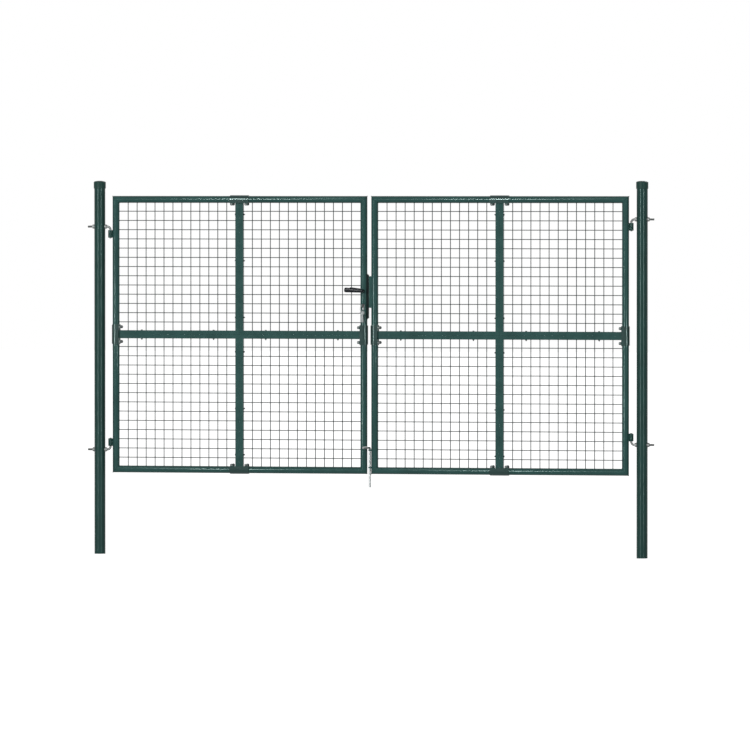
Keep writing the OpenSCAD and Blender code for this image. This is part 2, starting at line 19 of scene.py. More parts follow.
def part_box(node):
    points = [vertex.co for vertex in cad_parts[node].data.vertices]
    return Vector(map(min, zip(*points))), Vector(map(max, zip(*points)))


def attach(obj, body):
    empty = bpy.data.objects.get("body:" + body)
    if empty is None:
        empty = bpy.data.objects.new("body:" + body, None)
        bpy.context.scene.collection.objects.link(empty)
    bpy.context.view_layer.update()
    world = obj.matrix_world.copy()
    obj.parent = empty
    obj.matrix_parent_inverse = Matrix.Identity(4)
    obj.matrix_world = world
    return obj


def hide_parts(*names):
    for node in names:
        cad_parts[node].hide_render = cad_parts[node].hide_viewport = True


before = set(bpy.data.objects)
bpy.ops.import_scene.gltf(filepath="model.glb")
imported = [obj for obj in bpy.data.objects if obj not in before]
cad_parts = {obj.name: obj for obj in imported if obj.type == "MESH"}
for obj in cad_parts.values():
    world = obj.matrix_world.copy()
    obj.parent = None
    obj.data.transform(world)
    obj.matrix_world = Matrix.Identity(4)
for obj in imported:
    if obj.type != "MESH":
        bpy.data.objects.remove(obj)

log = logging.getLogger("gate")
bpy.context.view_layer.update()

Pair = tuple[float, float]
Color = tuple[float, float, float, float]
Ring = list[Vector]
Path = Sequence[Vector]


class Body(Enum):
    """Bodies that move on their own."""

    POSTS = "posts"
    LEFT_LEAF = "left_leaf"
    RIGHT_LEAF = "right_leaf"
    LEVER = "lever"
    LATCH = "latch"
    DROP_BOLT = "drop_bolt"


class Slot(Enum):
    """Material slots that the finishes carry."""

    GREEN_COAT = "green_coat"
    GREEN_CAP = "green_cap"
    MESH_WIRE = "mesh_wire"
    ZINC = "zinc"
    BLACK_LOCK = "black_lock"
    NICKEL = "nickel"


class Side(Enum):
    """The two leaves, with the direction from hinge to lock."""

    LEFT = 1
    RIGHT = -1

    @property
    def label(self) -> str:
        """Name prefix of the leaf's nodes."""
        return self.name.lower()

    @property
    def body(self) -> Body:
        """Body of the leaf."""
        return Body.LEFT_LEAF if self is Side.LEFT else Body.RIGHT_LEAF


# ---- Outlines and places ----


def quarter(steps: int, first: int = 0) -> list[float]:
    """Gives the angles of a quarter turn in even steps, from the first step on."""
    return [math.pi / 2 * i / steps for i in range(first, steps + 1)]


def arc(radius: float, angles: Iterable[float], centre: Pair = (0.0, 0.0)) -> list[Pair]:
    """Gives the points of an arc at the given angles."""
    x, y = centre
    return [(x + radius * math.cos(a), y + radius * math.sin(a)) for a in angles]


def circle(radius: float, sides: int, start: float = 0.0) -> list[Pair]:
    """Gives the outline of a circle, counter-clockwise from a start angle."""
    return arc(radius, (start + math.tau * i / sides for i in range(sides)))


def rounded_box(width: float, height: float, corner: float, steps: int = 4) -> list[Pair]:
    """Gives the outline of a rectangle with round corners, centred on the origin.

    Args:
        width: Size along the first axis.
        height: Size along the second axis.
        corner: Radius of the corners.
        steps: Segments of each corner.

    Returns:
        Points of the outline, counter-clockwise.
    """
    points = []
    for turns, (sx, sy) in enumerate(((1, 1), (-1, 1), (-1, -1), (1, -1))):
        centre = sx * (width / 2 - corner), sy * (height / 2 - corner)
        points += arc(corner, [math.pi / 2 * (turns + i / steps) for i in range(steps + 1)], centre)
    return points


def flat(outline: Iterable[Pair], x: float = 0.0, y: float = 0.0, z: float = 0.0) -> Ring:
    """Lays an outline level, with its axes along X and Y."""
    return [Vector((x + a, y + b, z)) for a, b in outline]


def facing_front(outline: Iterable[Pair], y: float = 0.0) -> Ring:
    """Stands an outline up with its axes along X and Z."""
    return [Vector((a, y, b)) for a, b in outline]


def facing_side(outline: Iterable[Pair], x: float, z: float) -> Ring:
    """Stands an outline up with its axes along Y and Z."""
    return [Vector((x, a, z + b)) for a, b in outline]


def spread(outline: Iterable[Pair], at: Vector, first: Vector, second: Vector) -> Ring:
    """Lays an outline round a place, with its axes along two directions."""
    return [at + first * a + second * b for a, b in outline]


def across(direction: Vector) -> tuple[Vector, Vector]:
    """Gives two directions square to a direction and to each other.

    Args:
        direction: The direction, of length one.

    Returns:
        The first direction, which lies along Y if it can, and the second one.
    """
    nearly_along = 0.9
    side = Vector((0, 1, 0)) if abs(direction.y) < nearly_along else Vector((1, 0, 0))
    second = direction.cross(side).normalized()
    return second.cross(direction).normalized(), second


def turned(axis: Vector, at: Vector) -> Matrix:
    """Gives the matrix that carries local +Z onto an axis and the origin onto a point."""
    return Matrix.Translation(at) @ axis.normalized().to_track_quat("Z", "Y").to_matrix().to_4x4()


def turn(degrees: float, axis: str) -> Matrix:
    """Gives the rotation by an angle about an axis."""
    return Matrix.Rotation(math.radians(degrees), 4, axis)


def step(x: float = 0.0, y: float = 0.0, z: float = 0.0) -> Matrix:
    """Gives the translation by three lengths."""
    return Matrix.Translation((x, y, z))


# ---- Mesh of one piece ----


class Shell:
    """Collects the closed forms of one piece and turns them into an object."""

    RIPPLE = 0.12
    CREASE = 35.0

    def __init__(self, place: Matrix | None = None) -> None:
        """Starts with an empty mesh, in the given frame or in the row frame."""
        self.mesh = bmesh.new()
        self.place = Matrix.Identity(4) if place is None else place

    def points(self, ring: Iterable[Vector]) -> list[bmesh.types.BMVert]:
        """Makes the vertices of a ring of points."""
        return [self.mesh.verts.new(self.place @ point) for point in ring]

    def wall(self, near: Sequence[bmesh.types.BMVert], far: Sequence[bmesh.types.BMVert]) -> None:
        """Joins two closed rings of vertices with faces."""
        for i, j in zip(range(len(near)), [*range(1, len(near)), 0]):
            self.mesh.faces.new((near[i], near[j], far[j], far[i]))

    def loft(self, rings: Sequence[Iterable[Vector]], loop: bool = False) -> None:
        """Joins rings of equal length with faces and closes both ends.

        Args:
            rings: Rings of points, in order.
            loop: Joins the last ring to the first in place of end faces.
        """
        rows = [self.points(ring) for ring in rings]
        for lower, upper in zip(rows, rows[1:]):
            self.wall(lower, upper)
        if loop:
            self.wall(rows[-1], rows[0])
        else:
            self.mesh.faces.new(reversed(rows[0]))
            self.mesh.faces.new(rows[-1])

    def sweep(self, path: Path, outline: Sequence[Pair]) -> None:
        """Carries an outline along a path, with a mitre at each of its points.

        Args:
            path: Points of the path.
            outline: Outline square to the path; its first axis lies along Y if it can.
        """
        ways = [(b - a).normalized() for a, b in zip(path, path[1:])]
        ring = spread(outline, path[0], *across(ways[0]))
        rings = [ring]
        for way, after, at in zip(ways, ways[1:] + ways[-1:], path[1:]):
            normal = (way + after).normalized()
            ring = [p + way * ((at - p).dot(normal) / way.dot(normal)) for p in ring]
            rings.append(ring)
        self.loft(rings)

    def rod(self, start: Vector, end: Vector, radius: float, sides: int = 12) -> None:
        """Adds a plain round rod between two points."""
        self.sweep([start, end], circle(radius, sides, math.pi / sides))

    def lathe(self, profile: Sequence[Pair], sides: int = 32) -> None:
        """Turns a profile of radii and heights round the local Z axis."""
        least = 1e-5
        self.loft([flat(circle(max(radius, least), sides), z=height) for radius, height in profile])

    def pipe(self, path: Path, radii: Sequence[float], sides: int = 20) -> None:
        """Carries a round section along a smooth path, with its own radius at each point.

        Args:
            path: Points of the path.
            radii: Radius at each point.
            sides: Number of segments round the path.
        """
        pairs = zip([*path[1:], path[-1]], [path[0], *path[:-1]])
        ways = [(after - before).normalized() for after, before in pairs]
        side = across(ways[0])[0]
        rings = []
        for at, way, radius in zip(path, ways, radii):
            side = (side - way * side.dot(way)).normalized()
            rings.append(spread(circle(radius, sides), at, side, way.cross(side)))
        self.loft(rings)

    def sheet(self, grid: Sequence[Ring], solid: Callable[[int, int], bool]) -> None:
        """Adds the middle face of a bent sheet, which a later thickness turns into metal.

        Args:
            grid: Rows of points of equal length.
            solid: Tells for a row and a column whether the cell after it is metal.
        """
        used: dict[tuple[int, int], bmesh.types.BMVert] = {}

        def corner(i: int, j: int) -> bmesh.types.BMVert:
            """Gives the vertex of a grid point, made at its first use."""
            used[i, j] = used.get((i, j)) or self.points([grid[i][j]])[0]
            return used[i, j]

        for i in range(len(grid) - 1):
            for j in range(len(grid[0]) - 1):
                if solid(i, j):
                    cell = ((i, j), (i, j + 1), (i + 1, j + 1), (i + 1, j))
                    self.mesh.faces.new([corner(*place) for place in cell])

    def bead(
        self, path: Path, radius: float, axis: Vector, ripple: float = RIPPLE, sides: int = 6,
    ) -> None:
        """Lays a closed weld bead along a loop of points.

        Args:
            path: Points of the loop.
            radius: Mean radius of the bead.
            axis: Direction that the loop runs round.
            ripple: Share by which the bead's radius swells and shrinks.
            sides: Segments round the bead.
        """
        rings = []
        for i, at in enumerate(path):
            way = (path[(i + 1) % len(path)] - path[i - 1]).normalized()
            side = axis.cross(way).normalized()
            size = radius * (1 + ripple * math.sin(i * math.pi / 2))
            rings.append(spread(circle(size, sides), at, side, way.cross(side)))
        self.loft(rings, loop=True)

    def seam(self, middle: Vector, half: float, radius: float, pitch: float = 0.0016) -> None:
        """Lays a straight rippled weld that runs up and down.

        Args:
            middle: Middle of the weld.
            half: Half of its length.
            radius: Mean radius of the bead.
            pitch: Distance between its rings.
        """
        run, end_share, sides = Vector((0, 0, half)), 0.55, 8
        start, end = middle - run, middle + run
        count = max(4, round((end - start).length / pitch))
        first, second = across((end - start).normalized())
        rings = []
        for i in range(count + 1):
            size = radius * (1 + self.RIPPLE * math.sin(i * math.pi / 2))
            size *= end_share if i in (0, count) else 1
            rings.append(spread(circle(size, sides), start.lerp(end, i / count), first, second))
        self.loft(rings)

    def blob(self, at: Vector, size: Vector, sides: int = 8, rows: int = 4) -> None:
        """Adds a flattened round blob, such as a weld spot.

        Args:
            at: Middle of the blob.
            size: Half of its size along each axis.
            sides: Segments round it.
            rows: Rings from pole to pole.
        """
        rings = []
        for a in (math.pi * i / rows for i in range(1, rows)):
            ring, y = circle(math.sin(a), sides), -math.cos(a) * size.y
            rings.append([at + Vector((x * size.x, y, z * size.z)) for x, z in ring])
        self.loft(rings)

    def plate(self, outline: Path, holes: Sequence[Path], depth: Vector) -> None:
        """Adds a flat plate with holes.

        Args:
            outline: Outer edge on one face of the plate.
            holes: Edges of the holes on the same face.
            depth: Step from that face to the other one.
        """
        loops = [list(outline), *[list(hole) for hole in holes]]
        edge = [point for loop in loops for point in loop]
        near, far = self.points(edge), self.points([point + depth for point in edge])
        for a, b, c in tessellate_polygon(loops):
            self.mesh.faces.new((near[a], near[b], near[c]))
            self.mesh.faces.new((far[c], far[b], far[a]))
        base = 0
        for loop in loops:
            end = base + len(loop)
            self.wall(near[base:end], far[base:end])
            base = end

    def thread(self, radius: float, pitch: float, start: float, end: float, sides: int) -> None:
        """Adds a screw thread round the local Z axis.

        Args:
            radius: Outer radius of the thread.
            pitch: Distance between neighbouring crests.
            start: Height of the first ring.
            end: Height of the last ring, where the thread tapers off.
            sides: Segments round the axis.
        """
        rings_a_turn, depth, flank, root, runout = 6, 0.55 * pitch, 1.4, 0.86, 0.14
        rows = max(4, round((end - start) / pitch * rings_a_turn))
        rings = []
        for z in (start + (end - start) * i / rows for i in range(rows + 1)):
            scale = root + runout * min(1.0, (end - z) / pitch)
            ring = []
            for k in range(sides):
                wave = abs((z / pitch - k / sides) % 1 * 2 - 1)
                r, a = (radius - depth * min(1, flank * wave)) * scale, math.tau * k / sides
                ring.append(Vector((r * math.cos(a), r * math.sin(a), z)))
            rings.append(ring)
        self.loft(rings)

    def hexagon(self, flats: float, start: float, height: float, both: bool, sides: int) -> None:
        """Adds a hexagon nut or bolt head with chamfered corners on the local Z axis.

        Args:
            flats: Distance across the flats.
            start: Height of its lower face.
            height: Its thickness.
            both: Chamfers the lower corners too.
            sides: Points round the hexagon.
        """
        apothem, sixth = flats / 2, math.pi / 3
        slope, inset = math.tan(math.radians(60)), 0.985
        angles = [math.tau * k / sides for k in range(sides)]
        reach = [apothem / math.cos((a + sixth / 2) % sixth - sixth / 2) for a in angles]
        drops = [(r - apothem) / slope for r in reach]

        def ring(radii: Sequence[float], heights: Sequence[float]) -> Ring:
            """Puts the hexagon's points at the given radii and heights."""
            rows = zip(angles, radii, heights)
            return [Vector((r * math.cos(a), r * math.sin(a), z)) for a, r, z in rows]

        inner = [apothem * inset] * sides
        low = [start + d for d in drops] if both else [start] * sides
        rings = [ring(inner, [start] * sides)] if both else []
        rings += [ring(reach, low), ring(reach, [start + height - d for d in drops])]
        rings.append(ring(inner, [start + height] * sides))
        self.loft(rings)

    def build(
        self, name: str, smooth: float = CREASE, bevel: float = 0.0, thickness: float = 0.0,
    ) -> bpy.types.Object:
        """Makes the object and frees the working mesh.

        Args:
            name: Name of the object.
            smooth: Edges sharper than this many degrees stay sharp.
            bevel: Width of the rounded edges.
            thickness: Thickness that open sheets get, half of it on each side.

        Returns:
            The new object, at the row frame's origin.
        """
        bmesh.ops.recalc_face_normals(self.mesh, faces=self.mesh.faces)
        mesh = bpy.data.meshes.new(name)
        self.mesh.to_mesh(mesh)
        self.mesh.free()
        made = bpy.data.objects.new(name, mesh)
        bpy.context.scene.collection.objects.link(made)
        if thickness:
            thicken = made.modifiers.new("sheet_metal", "SOLIDIFY")
            thicken.thickness, thicken.offset, thicken.use_even_offset = thickness, 0, True
        if bevel:
            soften = made.modifiers.new("rounded_edges", "BEVEL")
            soften.width, soften.segments, soften.use_clamp_overlap = bevel, 2, True
            soften.limit_method, soften.angle_limit = "ANGLE", math.radians(self.CREASE)
        if thickness or bevel:
            apply_modifiers(made)
        made.data.shade_smooth()
        made.data.set_sharp_from_angle(angle=math.radians(smooth))
        flatten = made.modifiers.new("flat_faces", "WEIGHTED_NORMAL")
        flatten.mode, flatten.keep_sharp = "FACE_AREA_WITH_ANGLE", True
        apply_modifiers(made)
        return made


def apply_modifiers(made: bpy.types.Object) -> None:
    """Turns an object's modifiers into plain mesh.

    Args:
        made: The object, which keeps its name and gets a new mesh.
    """
    graph = bpy.context.evaluated_depsgraph_get()
    result = bpy.data.meshes.new_from_object(made.evaluated_get(graph), depsgraph=graph)
    made.modifiers.clear()
    made.data = result


# ---- Shader groups ----


class Graph:
    """Small helper for placing and joining the nodes of one tree."""

    def __init__(self, tree: bpy.types.NodeTree) -> None:
        """Keeps the tree."""
        self.tree = tree

    def feed(self, node: bpy.types.Node, inputs: dict[str | int, object]) -> bpy.types.Node:
        """Sets or links inputs of a node.

        Args:
            node: The node.
            inputs: Values or sockets for its inputs, by name or number.

        Returns:
            The same node.
        """
        for key, value in inputs.items():
            if isinstance(value, bpy.types.NodeSocket):
                self.tree.links.new(value, node.inputs[key])
            else:
                node.inputs[key].default_value = value
        return node

    def node(
        self, kind: str, inputs: dict[str | int, object] | None = None, **settings: object,
    ) -> bpy.types.Node:
        """Adds a node, sets its properties, and sets or links its inputs.

        Args:
            kind: Type of the node, without the ShaderNode prefix.
            inputs: Values or sockets for its inputs, by name or number.
            **settings: Properties of the node.

        Returns:
            The new node.
        """
        made = self.tree.nodes.new("ShaderNode" + kind)
        for key, value in settings.items():
            setattr(made, key, value)
        return self.feed(made, inputs or {})

    def math(self, operation: str, first: object, second: object) -> bpy.types.NodeSocket:
        """Adds a Math node and gives its result."""
        return self.node("Math", {0: first, 1: second}, operation=operation).outputs[0]

    def product(self, first: object, second: object, *more: object) -> bpy.types.NodeSocket:
        """Multiplies two values or more and gives the result."""
        result = self.math("MULTIPLY", first, second)
        return self.product(result, *more) if more else result

    def noise(
        self, scale: float, detail: float, stretch: tuple[float, float, float] = (1, 1, 1),
    ) -> bpy.types.NodeSocket:
        """Adds a noise texture in object space.

        Args:
            scale: Scale of the noise.
            detail: Detail of the noise.
            stretch: Scale along each axis.

        Returns:
            The noise's value.
        """
        place = self.node("TexCoord").outputs["Object"]
        spaced = self.node("Mapping", {"Vector": place, "Scale": stretch}).outputs[0]
        inputs = {"Vector": spaced, "Scale": scale, "Detail": detail}
        return self.node("TexNoise", inputs).outputs[0]

    def ramp(self, value: object, low: float, high: float) -> bpy.types.NodeSocket:
        """Stretches the values between two levels to the range of nought to one."""
        inputs = {"Value": value, "From Min": low, "From Max": high}
        return self.node("MapRange", inputs, clamp=True).outputs[0]

    def blend(self, share: object, first: object, second: object) -> bpy.types.NodeSocket:
        """Mixes two colours and gives the result."""
        inputs = {0: share, 6: first, 7: second}
        return self.node("Mix", inputs, data_type="RGBA").outputs[2]

    def brighten(self, color: object, value: object) -> bpy.types.NodeSocket:
        """Multiplies a colour's value and gives the result."""
        return self.node("HueSaturation", {"Color": color, "Value": value}).outputs[0]

    def relief(self, height: object, depth: float, strength: float) -> bpy.types.NodeSocket:
        """Turns a height into a normal and gives it."""
        inputs = {"Height": height, "Distance": depth, "Strength": strength}
        return self.node("Bump", inputs).outputs[0]

    def group(self, name: str, inputs: dict[str | int, object]) -> bpy.types.Node:
        """Places a shared shader group, built at its first use, and gives its node."""
        tree = bpy.data.node_groups.get(name) or GROUPS[name]()
        return self.node("Group", inputs, node_tree=tree)


def new_group(
    name: str, inputs: dict[str, object], *outputs: str,
) -> tuple[Graph, bpy.types.NodeSocket, bpy.types.Node]:
    """Starts a shader group with named sockets; a socket named Color is a colour.

    Args:
        name: Name of the group.
        inputs: Default of each input.
        *outputs: Names of the outputs.

    Returns:
        The group's graph, its inputs by name and its output node.
    """
    tree = bpy.data.node_groups.new(name, "ShaderNodeTree")
    for label, value in inputs.items():
        kind = "NodeSocketColor" if isinstance(value, tuple) else "NodeSocketFloat"
        tree.interface.new_socket(label, in_out="INPUT", socket_type=kind).default_value = value
    for label in outputs:
        kind = "NodeSocketColor" if label == "Color" else "NodeSocketFloat"
        tree.interface.new_socket(label, in_out="OUTPUT", socket_type=kind)
    start = tree.nodes.new("NodeGroupInput")
    return Graph(tree), start.outputs, tree.nodes.new("NodeGroupOutput")


GREY: Color = (0.5, 0.5, 0.5, 1)
PALE_DUST: Color = (0.35, 0.34, 0.31, 1)


def coat_skin() -> bpy.types.NodeTree:
    """Builds the group for a baked skin: slow tint changes and a fine orange-peel relief.

    Returns:
        The shader group.
    """
    graph, given, end = new_group(
        "coat_skin", {"Color": GREY, "Tint": 0.1, "Roughness": 0.4, "Spread": 0.1},
        "Color", "Roughness", "Height")
    slow = graph.ramp(graph.noise(scale=9.0, detail=3.0), low=0.35, high=0.65)
    fine = graph.noise(scale=620.0, detail=1.5)
    grain = graph.product(graph.noise(scale=2600.0, detail=1.0), 0.35)
    mottle = graph.math("SUBTRACT", graph.noise(scale=45.0, detail=3.0), 0.5)
    light = graph.brighten(given["Color"], graph.math("ADD", 1.0, given["Tint"]))
    dark = graph.brighten(given["Color"], graph.math("SUBTRACT", 1.0, given["Tint"]))
    rough = graph.product(mottle, given["Spread"])
    graph.feed(end, {
        "Color": graph.blend(slow, dark, light),
        "Roughness": graph.math("ADD", given["Roughness"], rough),
        "Height": graph.math("ADD", fine, grain),
    })
    return graph.tree


def dust_film() -> bpy.types.NodeTree:
    """Builds the group for pale dust on faces that look up.

    Returns:
        The shader group.
    """
    graph, given, end = new_group(
        "dust_film", {"Color": GREY, "Dust": PALE_DUST, "Amount": 0.2}, "Color", "Mask")
    normal = graph.node("NewGeometry").outputs["Normal"]
    upward = graph.ramp(graph.node("SeparateXYZ", {0: normal}).outputs["Z"], low=0.15, high=1.0)
    patches = graph.ramp(graph.noise(scale=60.0, detail=4.0), low=0.35, high=0.75)
    mask = graph.product(upward, patches, given["Amount"])
    graph.feed(end, {"Color": graph.blend(mask, given["Color"], given["Dust"]), "Mask": mask})
    return graph.tree


def scratches() -> bpy.types.NodeTree:
    """Builds the group for sparse fine scratches along a stretched direction.

    Returns:
        The shader group.
    """
    graph, given, end = new_group("scratches", {"Amount": 0.2}, "Mask")
    streaks = graph.noise(scale=900.0, detail=2.0, stretch=(1.0, 1.0, 0.03))
    lines = graph.ramp(streaks, low=0.68, high=0.74)
    patches = graph.ramp(graph.noise(scale=38.0, detail=2.0), low=0.5, high=0.7)
    graph.feed(end, {"Mask": graph.product(lines, patches, given["Amount"])})
    return graph.tree


def zinc_bloom() -> bpy.types.NodeTree:
    """Builds the group for galvanised steel: crystal patches with their own tone and shine.

    Returns:
        The shader group.
    """
    graph, given, end = new_group(
        "zinc_bloom", {"Color": GREY, "Scale": 300.0, "Contrast": 0.3, "Roughness": 0.4},
        "Color", "Roughness", "Height")
    place = graph.node("TexCoord").outputs["Object"]
    cells = graph.node("TexVoronoi", {"Vector": place, "Scale": given["Scale"]})
    tone = graph.node("SeparateColor", {0: cells.outputs["Color"]}).outputs[0]
    cloud = graph.product(graph.noise(scale=120.0, detail=4.0), 0.5)
    mixed = graph.math("ADD", graph.product(tone, 0.5), cloud)
    swing = graph.product(graph.math("SUBTRACT", mixed, 0.5), given["Contrast"])
    graph.feed(end, {
        "Color": graph.brighten(given["Color"], graph.math("ADD", 1.0, swing)),
        "Roughness": graph.math("SUBTRACT", given["Roughness"], graph.product(swing, 0.5)),
        "Height": mixed,
    })
    return graph.tree


GROUPS: dict[str, Callable[[], bpy.types.NodeTree]] = {
    "coat_skin": coat_skin, "dust_film": dust_film, "scratches": scratches,
    "zinc_bloom": zinc_bloom,
}


# ---- Finishes ----


@dataclass(frozen=True)
class Finish:
    """Common parts of every finish: its name, slot and base colour."""

    name: str
    slot: Slot
    color: tuple[float, float, float]

    @property
    def rgba(self) -> Color:
        """Base colour with full alpha."""
        return (*self.color, 1.0)

    def start(self, **plain: float | Color) -> tuple[bpy.types.Material, Graph, bpy.types.Node]:
        """Makes the material with its shader.

        Args:
            **plain: Shader inputs that are the same all over, with spaces as underscores.

        Returns:
            The material, its graph and its Principled BSDF.
        """
        material = bpy.data.materials.new(self.name)
        material.use_nodes = True
        graph = Graph(material.node_tree)
        shader = material.node_tree.nodes["Principled BSDF"]
        graph.feed(shader, {key.replace("_", " "): value for key, value in plain.items()})
        material.diffuse_color = self.rgba
        return material, graph, shader

    @staticmethod
    def wear(
        graph: Graph, skin: bpy.types.Node, scuffs: float, bare: Color, dust: float,
    ) -> bpy.types.Node:
        """Lays scratches and dust over a skin.

        Args:
            graph: Graph of the material.
            skin: Node that gives the clean colour.
            scuffs: Strength of the scratches.
            bare: Colour in the scratches.
            dust: Strength of the dust.

        Returns:
            The dust's node, with the worn colour and the dust's mask.
        """
        lines = graph.group("scratches", {"Amount": scuffs})
        worn = graph.blend(lines.outputs["Mask"], skin.outputs["Color"], bare)
        return graph.group("dust_film", {"Color": worn, "Amount": dust})

    def material(self) -> bpy.types.Material:
        """Builds the finish's material."""
        raise NotImplementedError


@dataclass(frozen=True)
class PowderCoat(Finish):
    """Baked powder coat on steel, with a fine skin, a few scratches and some dust."""

    roughness: float = 0.17
    roughness_spread: float = 0.16
    tint: float = 0.12
    shine: float = 0.17
    dust: float = 0.05
    dust_roughness: float = 0.5
    scuffs: float = 0.2
    scuff_color: Color = (0.07, 0.12, 0.11, 1.0)
    orange_peel: float = 0.00006
    relief_share: float = 0.5
    highlight: Color = (0.75, 1.0, 0.96, 1.0)

    def material(self) -> bpy.types.Material:
        """Builds the coat's material.

        Returns:
            The material.
        """
        material, graph, shader = self.start(
            Specular_IOR_Level=self.shine, Specular_Tint=self.highlight)
        skin = graph.group("coat_skin", {
            "Color": self.rgba, "Tint": self.tint, "Roughness": self.roughness,
            "Spread": self.roughness_spread})
        worn = self.wear(graph, skin, self.scuffs, self.scuff_color, self.dust).outputs
        dulled = graph.product(worn["Mask"], self.dust_roughness)
        graph.feed(shader, {
            "Base Color": worn["Color"],
            "Roughness": graph.math("ADD", skin.outputs["Roughness"], dulled),
            "Normal": graph.relief(skin.outputs["Height"], self.orange_peel, self.relief_share),
        })
        return material


@dataclass(frozen=True)
class MouldedPlastic(Finish):
    """Moulded plastic with a fine matt grain."""

    roughness: float = 0.45
    roughness_spread: float = 0.2
    tint: float = 0.08
    dust: float = 0.04
    shine: float = 0.3
    scuffs: float = 0.15
    scuff_color: Color = (0.09, 0.1, 0.1, 1.0)
    grain: float = 0.00004
    relief_share: float = 0.7

    def material(self) -> bpy.types.Material:
        """Builds the plastic's material.

        Returns:
            The material.
        """
        material, graph, shader = self.start(Specular_IOR_Level=self.shine)
        skin = graph.group("coat_skin", {
            "Color": self.rgba, "Tint": self.tint, "Roughness": self.roughness,
            "Spread": self.roughness_spread})
        worn = self.wear(graph, skin, self.scuffs, self.scuff_color, self.dust)
        graph.feed(shader, {
            "Base Color": worn.outputs["Color"],
            "Roughness": skin.outputs["Roughness"],
            "Normal": graph.relief(skin.outputs["Height"], self.grain, self.relief_share),
        })
        return material


@dataclass(frozen=True)
class PlatedMetal(Finish):
    """Zinc or nickel plating with crystal patches and fine scratches."""

    roughness: float = 0.38
    contrast: float = 0.5
    crystals: float = 420.0
    scuffs: float = 0.5
    scuff_color: Color = (0.8, 0.8, 0.8, 1.0)
    dust: float = 0.15
    grain: float = 0.00005
    relief_share: float = 0.5

    def material(self) -> bpy.types.Material:
        """Builds the plating's material.

        Returns:
            The material.
        """
        material, graph, shader = self.start(Metallic=1.0)
        bloom = graph.group("zinc_bloom", {
            "Color": self.rgba, "Scale": self.crystals, "Contrast": self.contrast,
            "Roughness": self.roughness})
        worn = self.wear(graph, bloom, self.scuffs, self.scuff_color, self.dust)
        graph.feed(shader, {
            "Base Color": worn.outputs["Color"],
            "Roughness": bloom.outputs["Roughness"],
            "Normal": graph.relief(bloom.outputs["Height"], self.grain, self.relief_share),
        })
        return material


@dataclass
class Palette:
    """The gate's finishes with their materials, each built once."""

    finishes: dict[str, Finish] = field(default_factory=lambda: {
        "coat": PowderCoat("green_powder_coat", Slot.GREEN_COAT, (0.016, 0.054, 0.049)),
        # Darker copy of the leaves' green coat for the posts and hinge knuckles: painted shade,
        # since they wear the same coat as the leaves.
        "shaded_post_coat": PowderCoat(
            "green_coat_darkened_for_shade", Slot.GREEN_COAT, (0.010, 0.036, 0.031), roughness=0.2, shine=0.13),
        "sleeve": PowderCoat(
            "green_sleeve_coat", Slot.GREEN_COAT, (0.006, 0.024, 0.022), roughness=0.16,
            shine=0.38, orange_peel=0.00001),
        "cap": MouldedPlastic(
            "green_cap_plastic", Slot.GREEN_CAP, (0.008, 0.033, 0.027), shine=0.13),
        "wire": PowderCoat(
            "coated_mesh_wire", Slot.MESH_WIRE, (0.035, 0.042, 0.042), roughness=0.45,
            scuffs=0.1),
        "zinc": PlatedMetal("galvanised_steel", Slot.ZINC, (0.28, 0.295, 0.295)),
        # Darker, rougher copy of the galvanised steel for the hook bolts, nuts and washers.
        "dull_zinc": PlatedMetal(
            "darker_rougher_zinc", Slot.ZINC, (0.15, 0.158, 0.156), roughness=0.52),
        # Darker copy of the galvanised steel for the ear and panel bolts: painted shade on bolts
        # tucked between the ears and bars.
        "shaded_zinc": PlatedMetal(
            "zinc_darkened_for_shade", Slot.ZINC, (0.085, 0.093, 0.092), roughness=0.52),
        "black": MouldedPlastic(
            "black_lever_plastic", Slot.BLACK_LOCK, (0.003, 0.005, 0.008), roughness=0.26,
            dust=0.0, shine=0.12),
        "black_steel": PowderCoat(
            "black_plate_coat", Slot.BLACK_LOCK, (0.0025, 0.006, 0.006), roughness=0.3,
            shine=0.05, dust=0.0),
        "nickel": PlatedMetal(
            "nickel_plating", Slot.NICKEL, (0.13, 0.14, 0.14), roughness=0.5, contrast=0.4),
    })
    built: dict[str, bpy.types.Material] = field(default_factory=dict)

    def dress(self, piece: bpy.types.Object, key: str) -> None:
        """Gives a piece one of the finishes.

        Args:
            piece: Object to dress.
            key: Name of the finish in the palette.
        """
        if key not in self.built:
            self.built[key] = self.finishes[key].material()
        slots = piece.data.materials
        if not slots:
            slots.append(self.built[key])
        for i in range(len(slots)):
            slots[i] = self.built[key]


@dataclass
class Workshop:
    """Places finished pieces on their bodies and keeps count of them."""

    palette: Palette = field(default_factory=Palette)
    count: int = 0

    def mount(self, piece: bpy.types.Object, body: Body, finish: str, *nodes: str) -> None:
        """Dresses a piece, puts it on a body and lets it stand for its frame nodes.

        Args:
            piece: The finished object.
            body: Body that carries it.
            finish: Key of its finish.
            *nodes: Frame nodes that it replaces.
        """
        self.palette.dress(piece, finish)
        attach(piece, body.value)
        if nodes:
            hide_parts(*nodes)
        self.count += 1
        log.info("piece %s on %s, %d faces", piece.name, body.value, len(piece.data.polygons))

    def keep(self, node: str, finish: str) -> None:
        """Dresses a frame node whose own shape stays.

        Args:
            node: Name of the node.
            finish: Key of its finish.
        """
        self.palette.dress(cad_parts[node], finish)
        self.count += 1
        log.info("node %s keeps its shape", node)


# ---- Posts and hinges ----


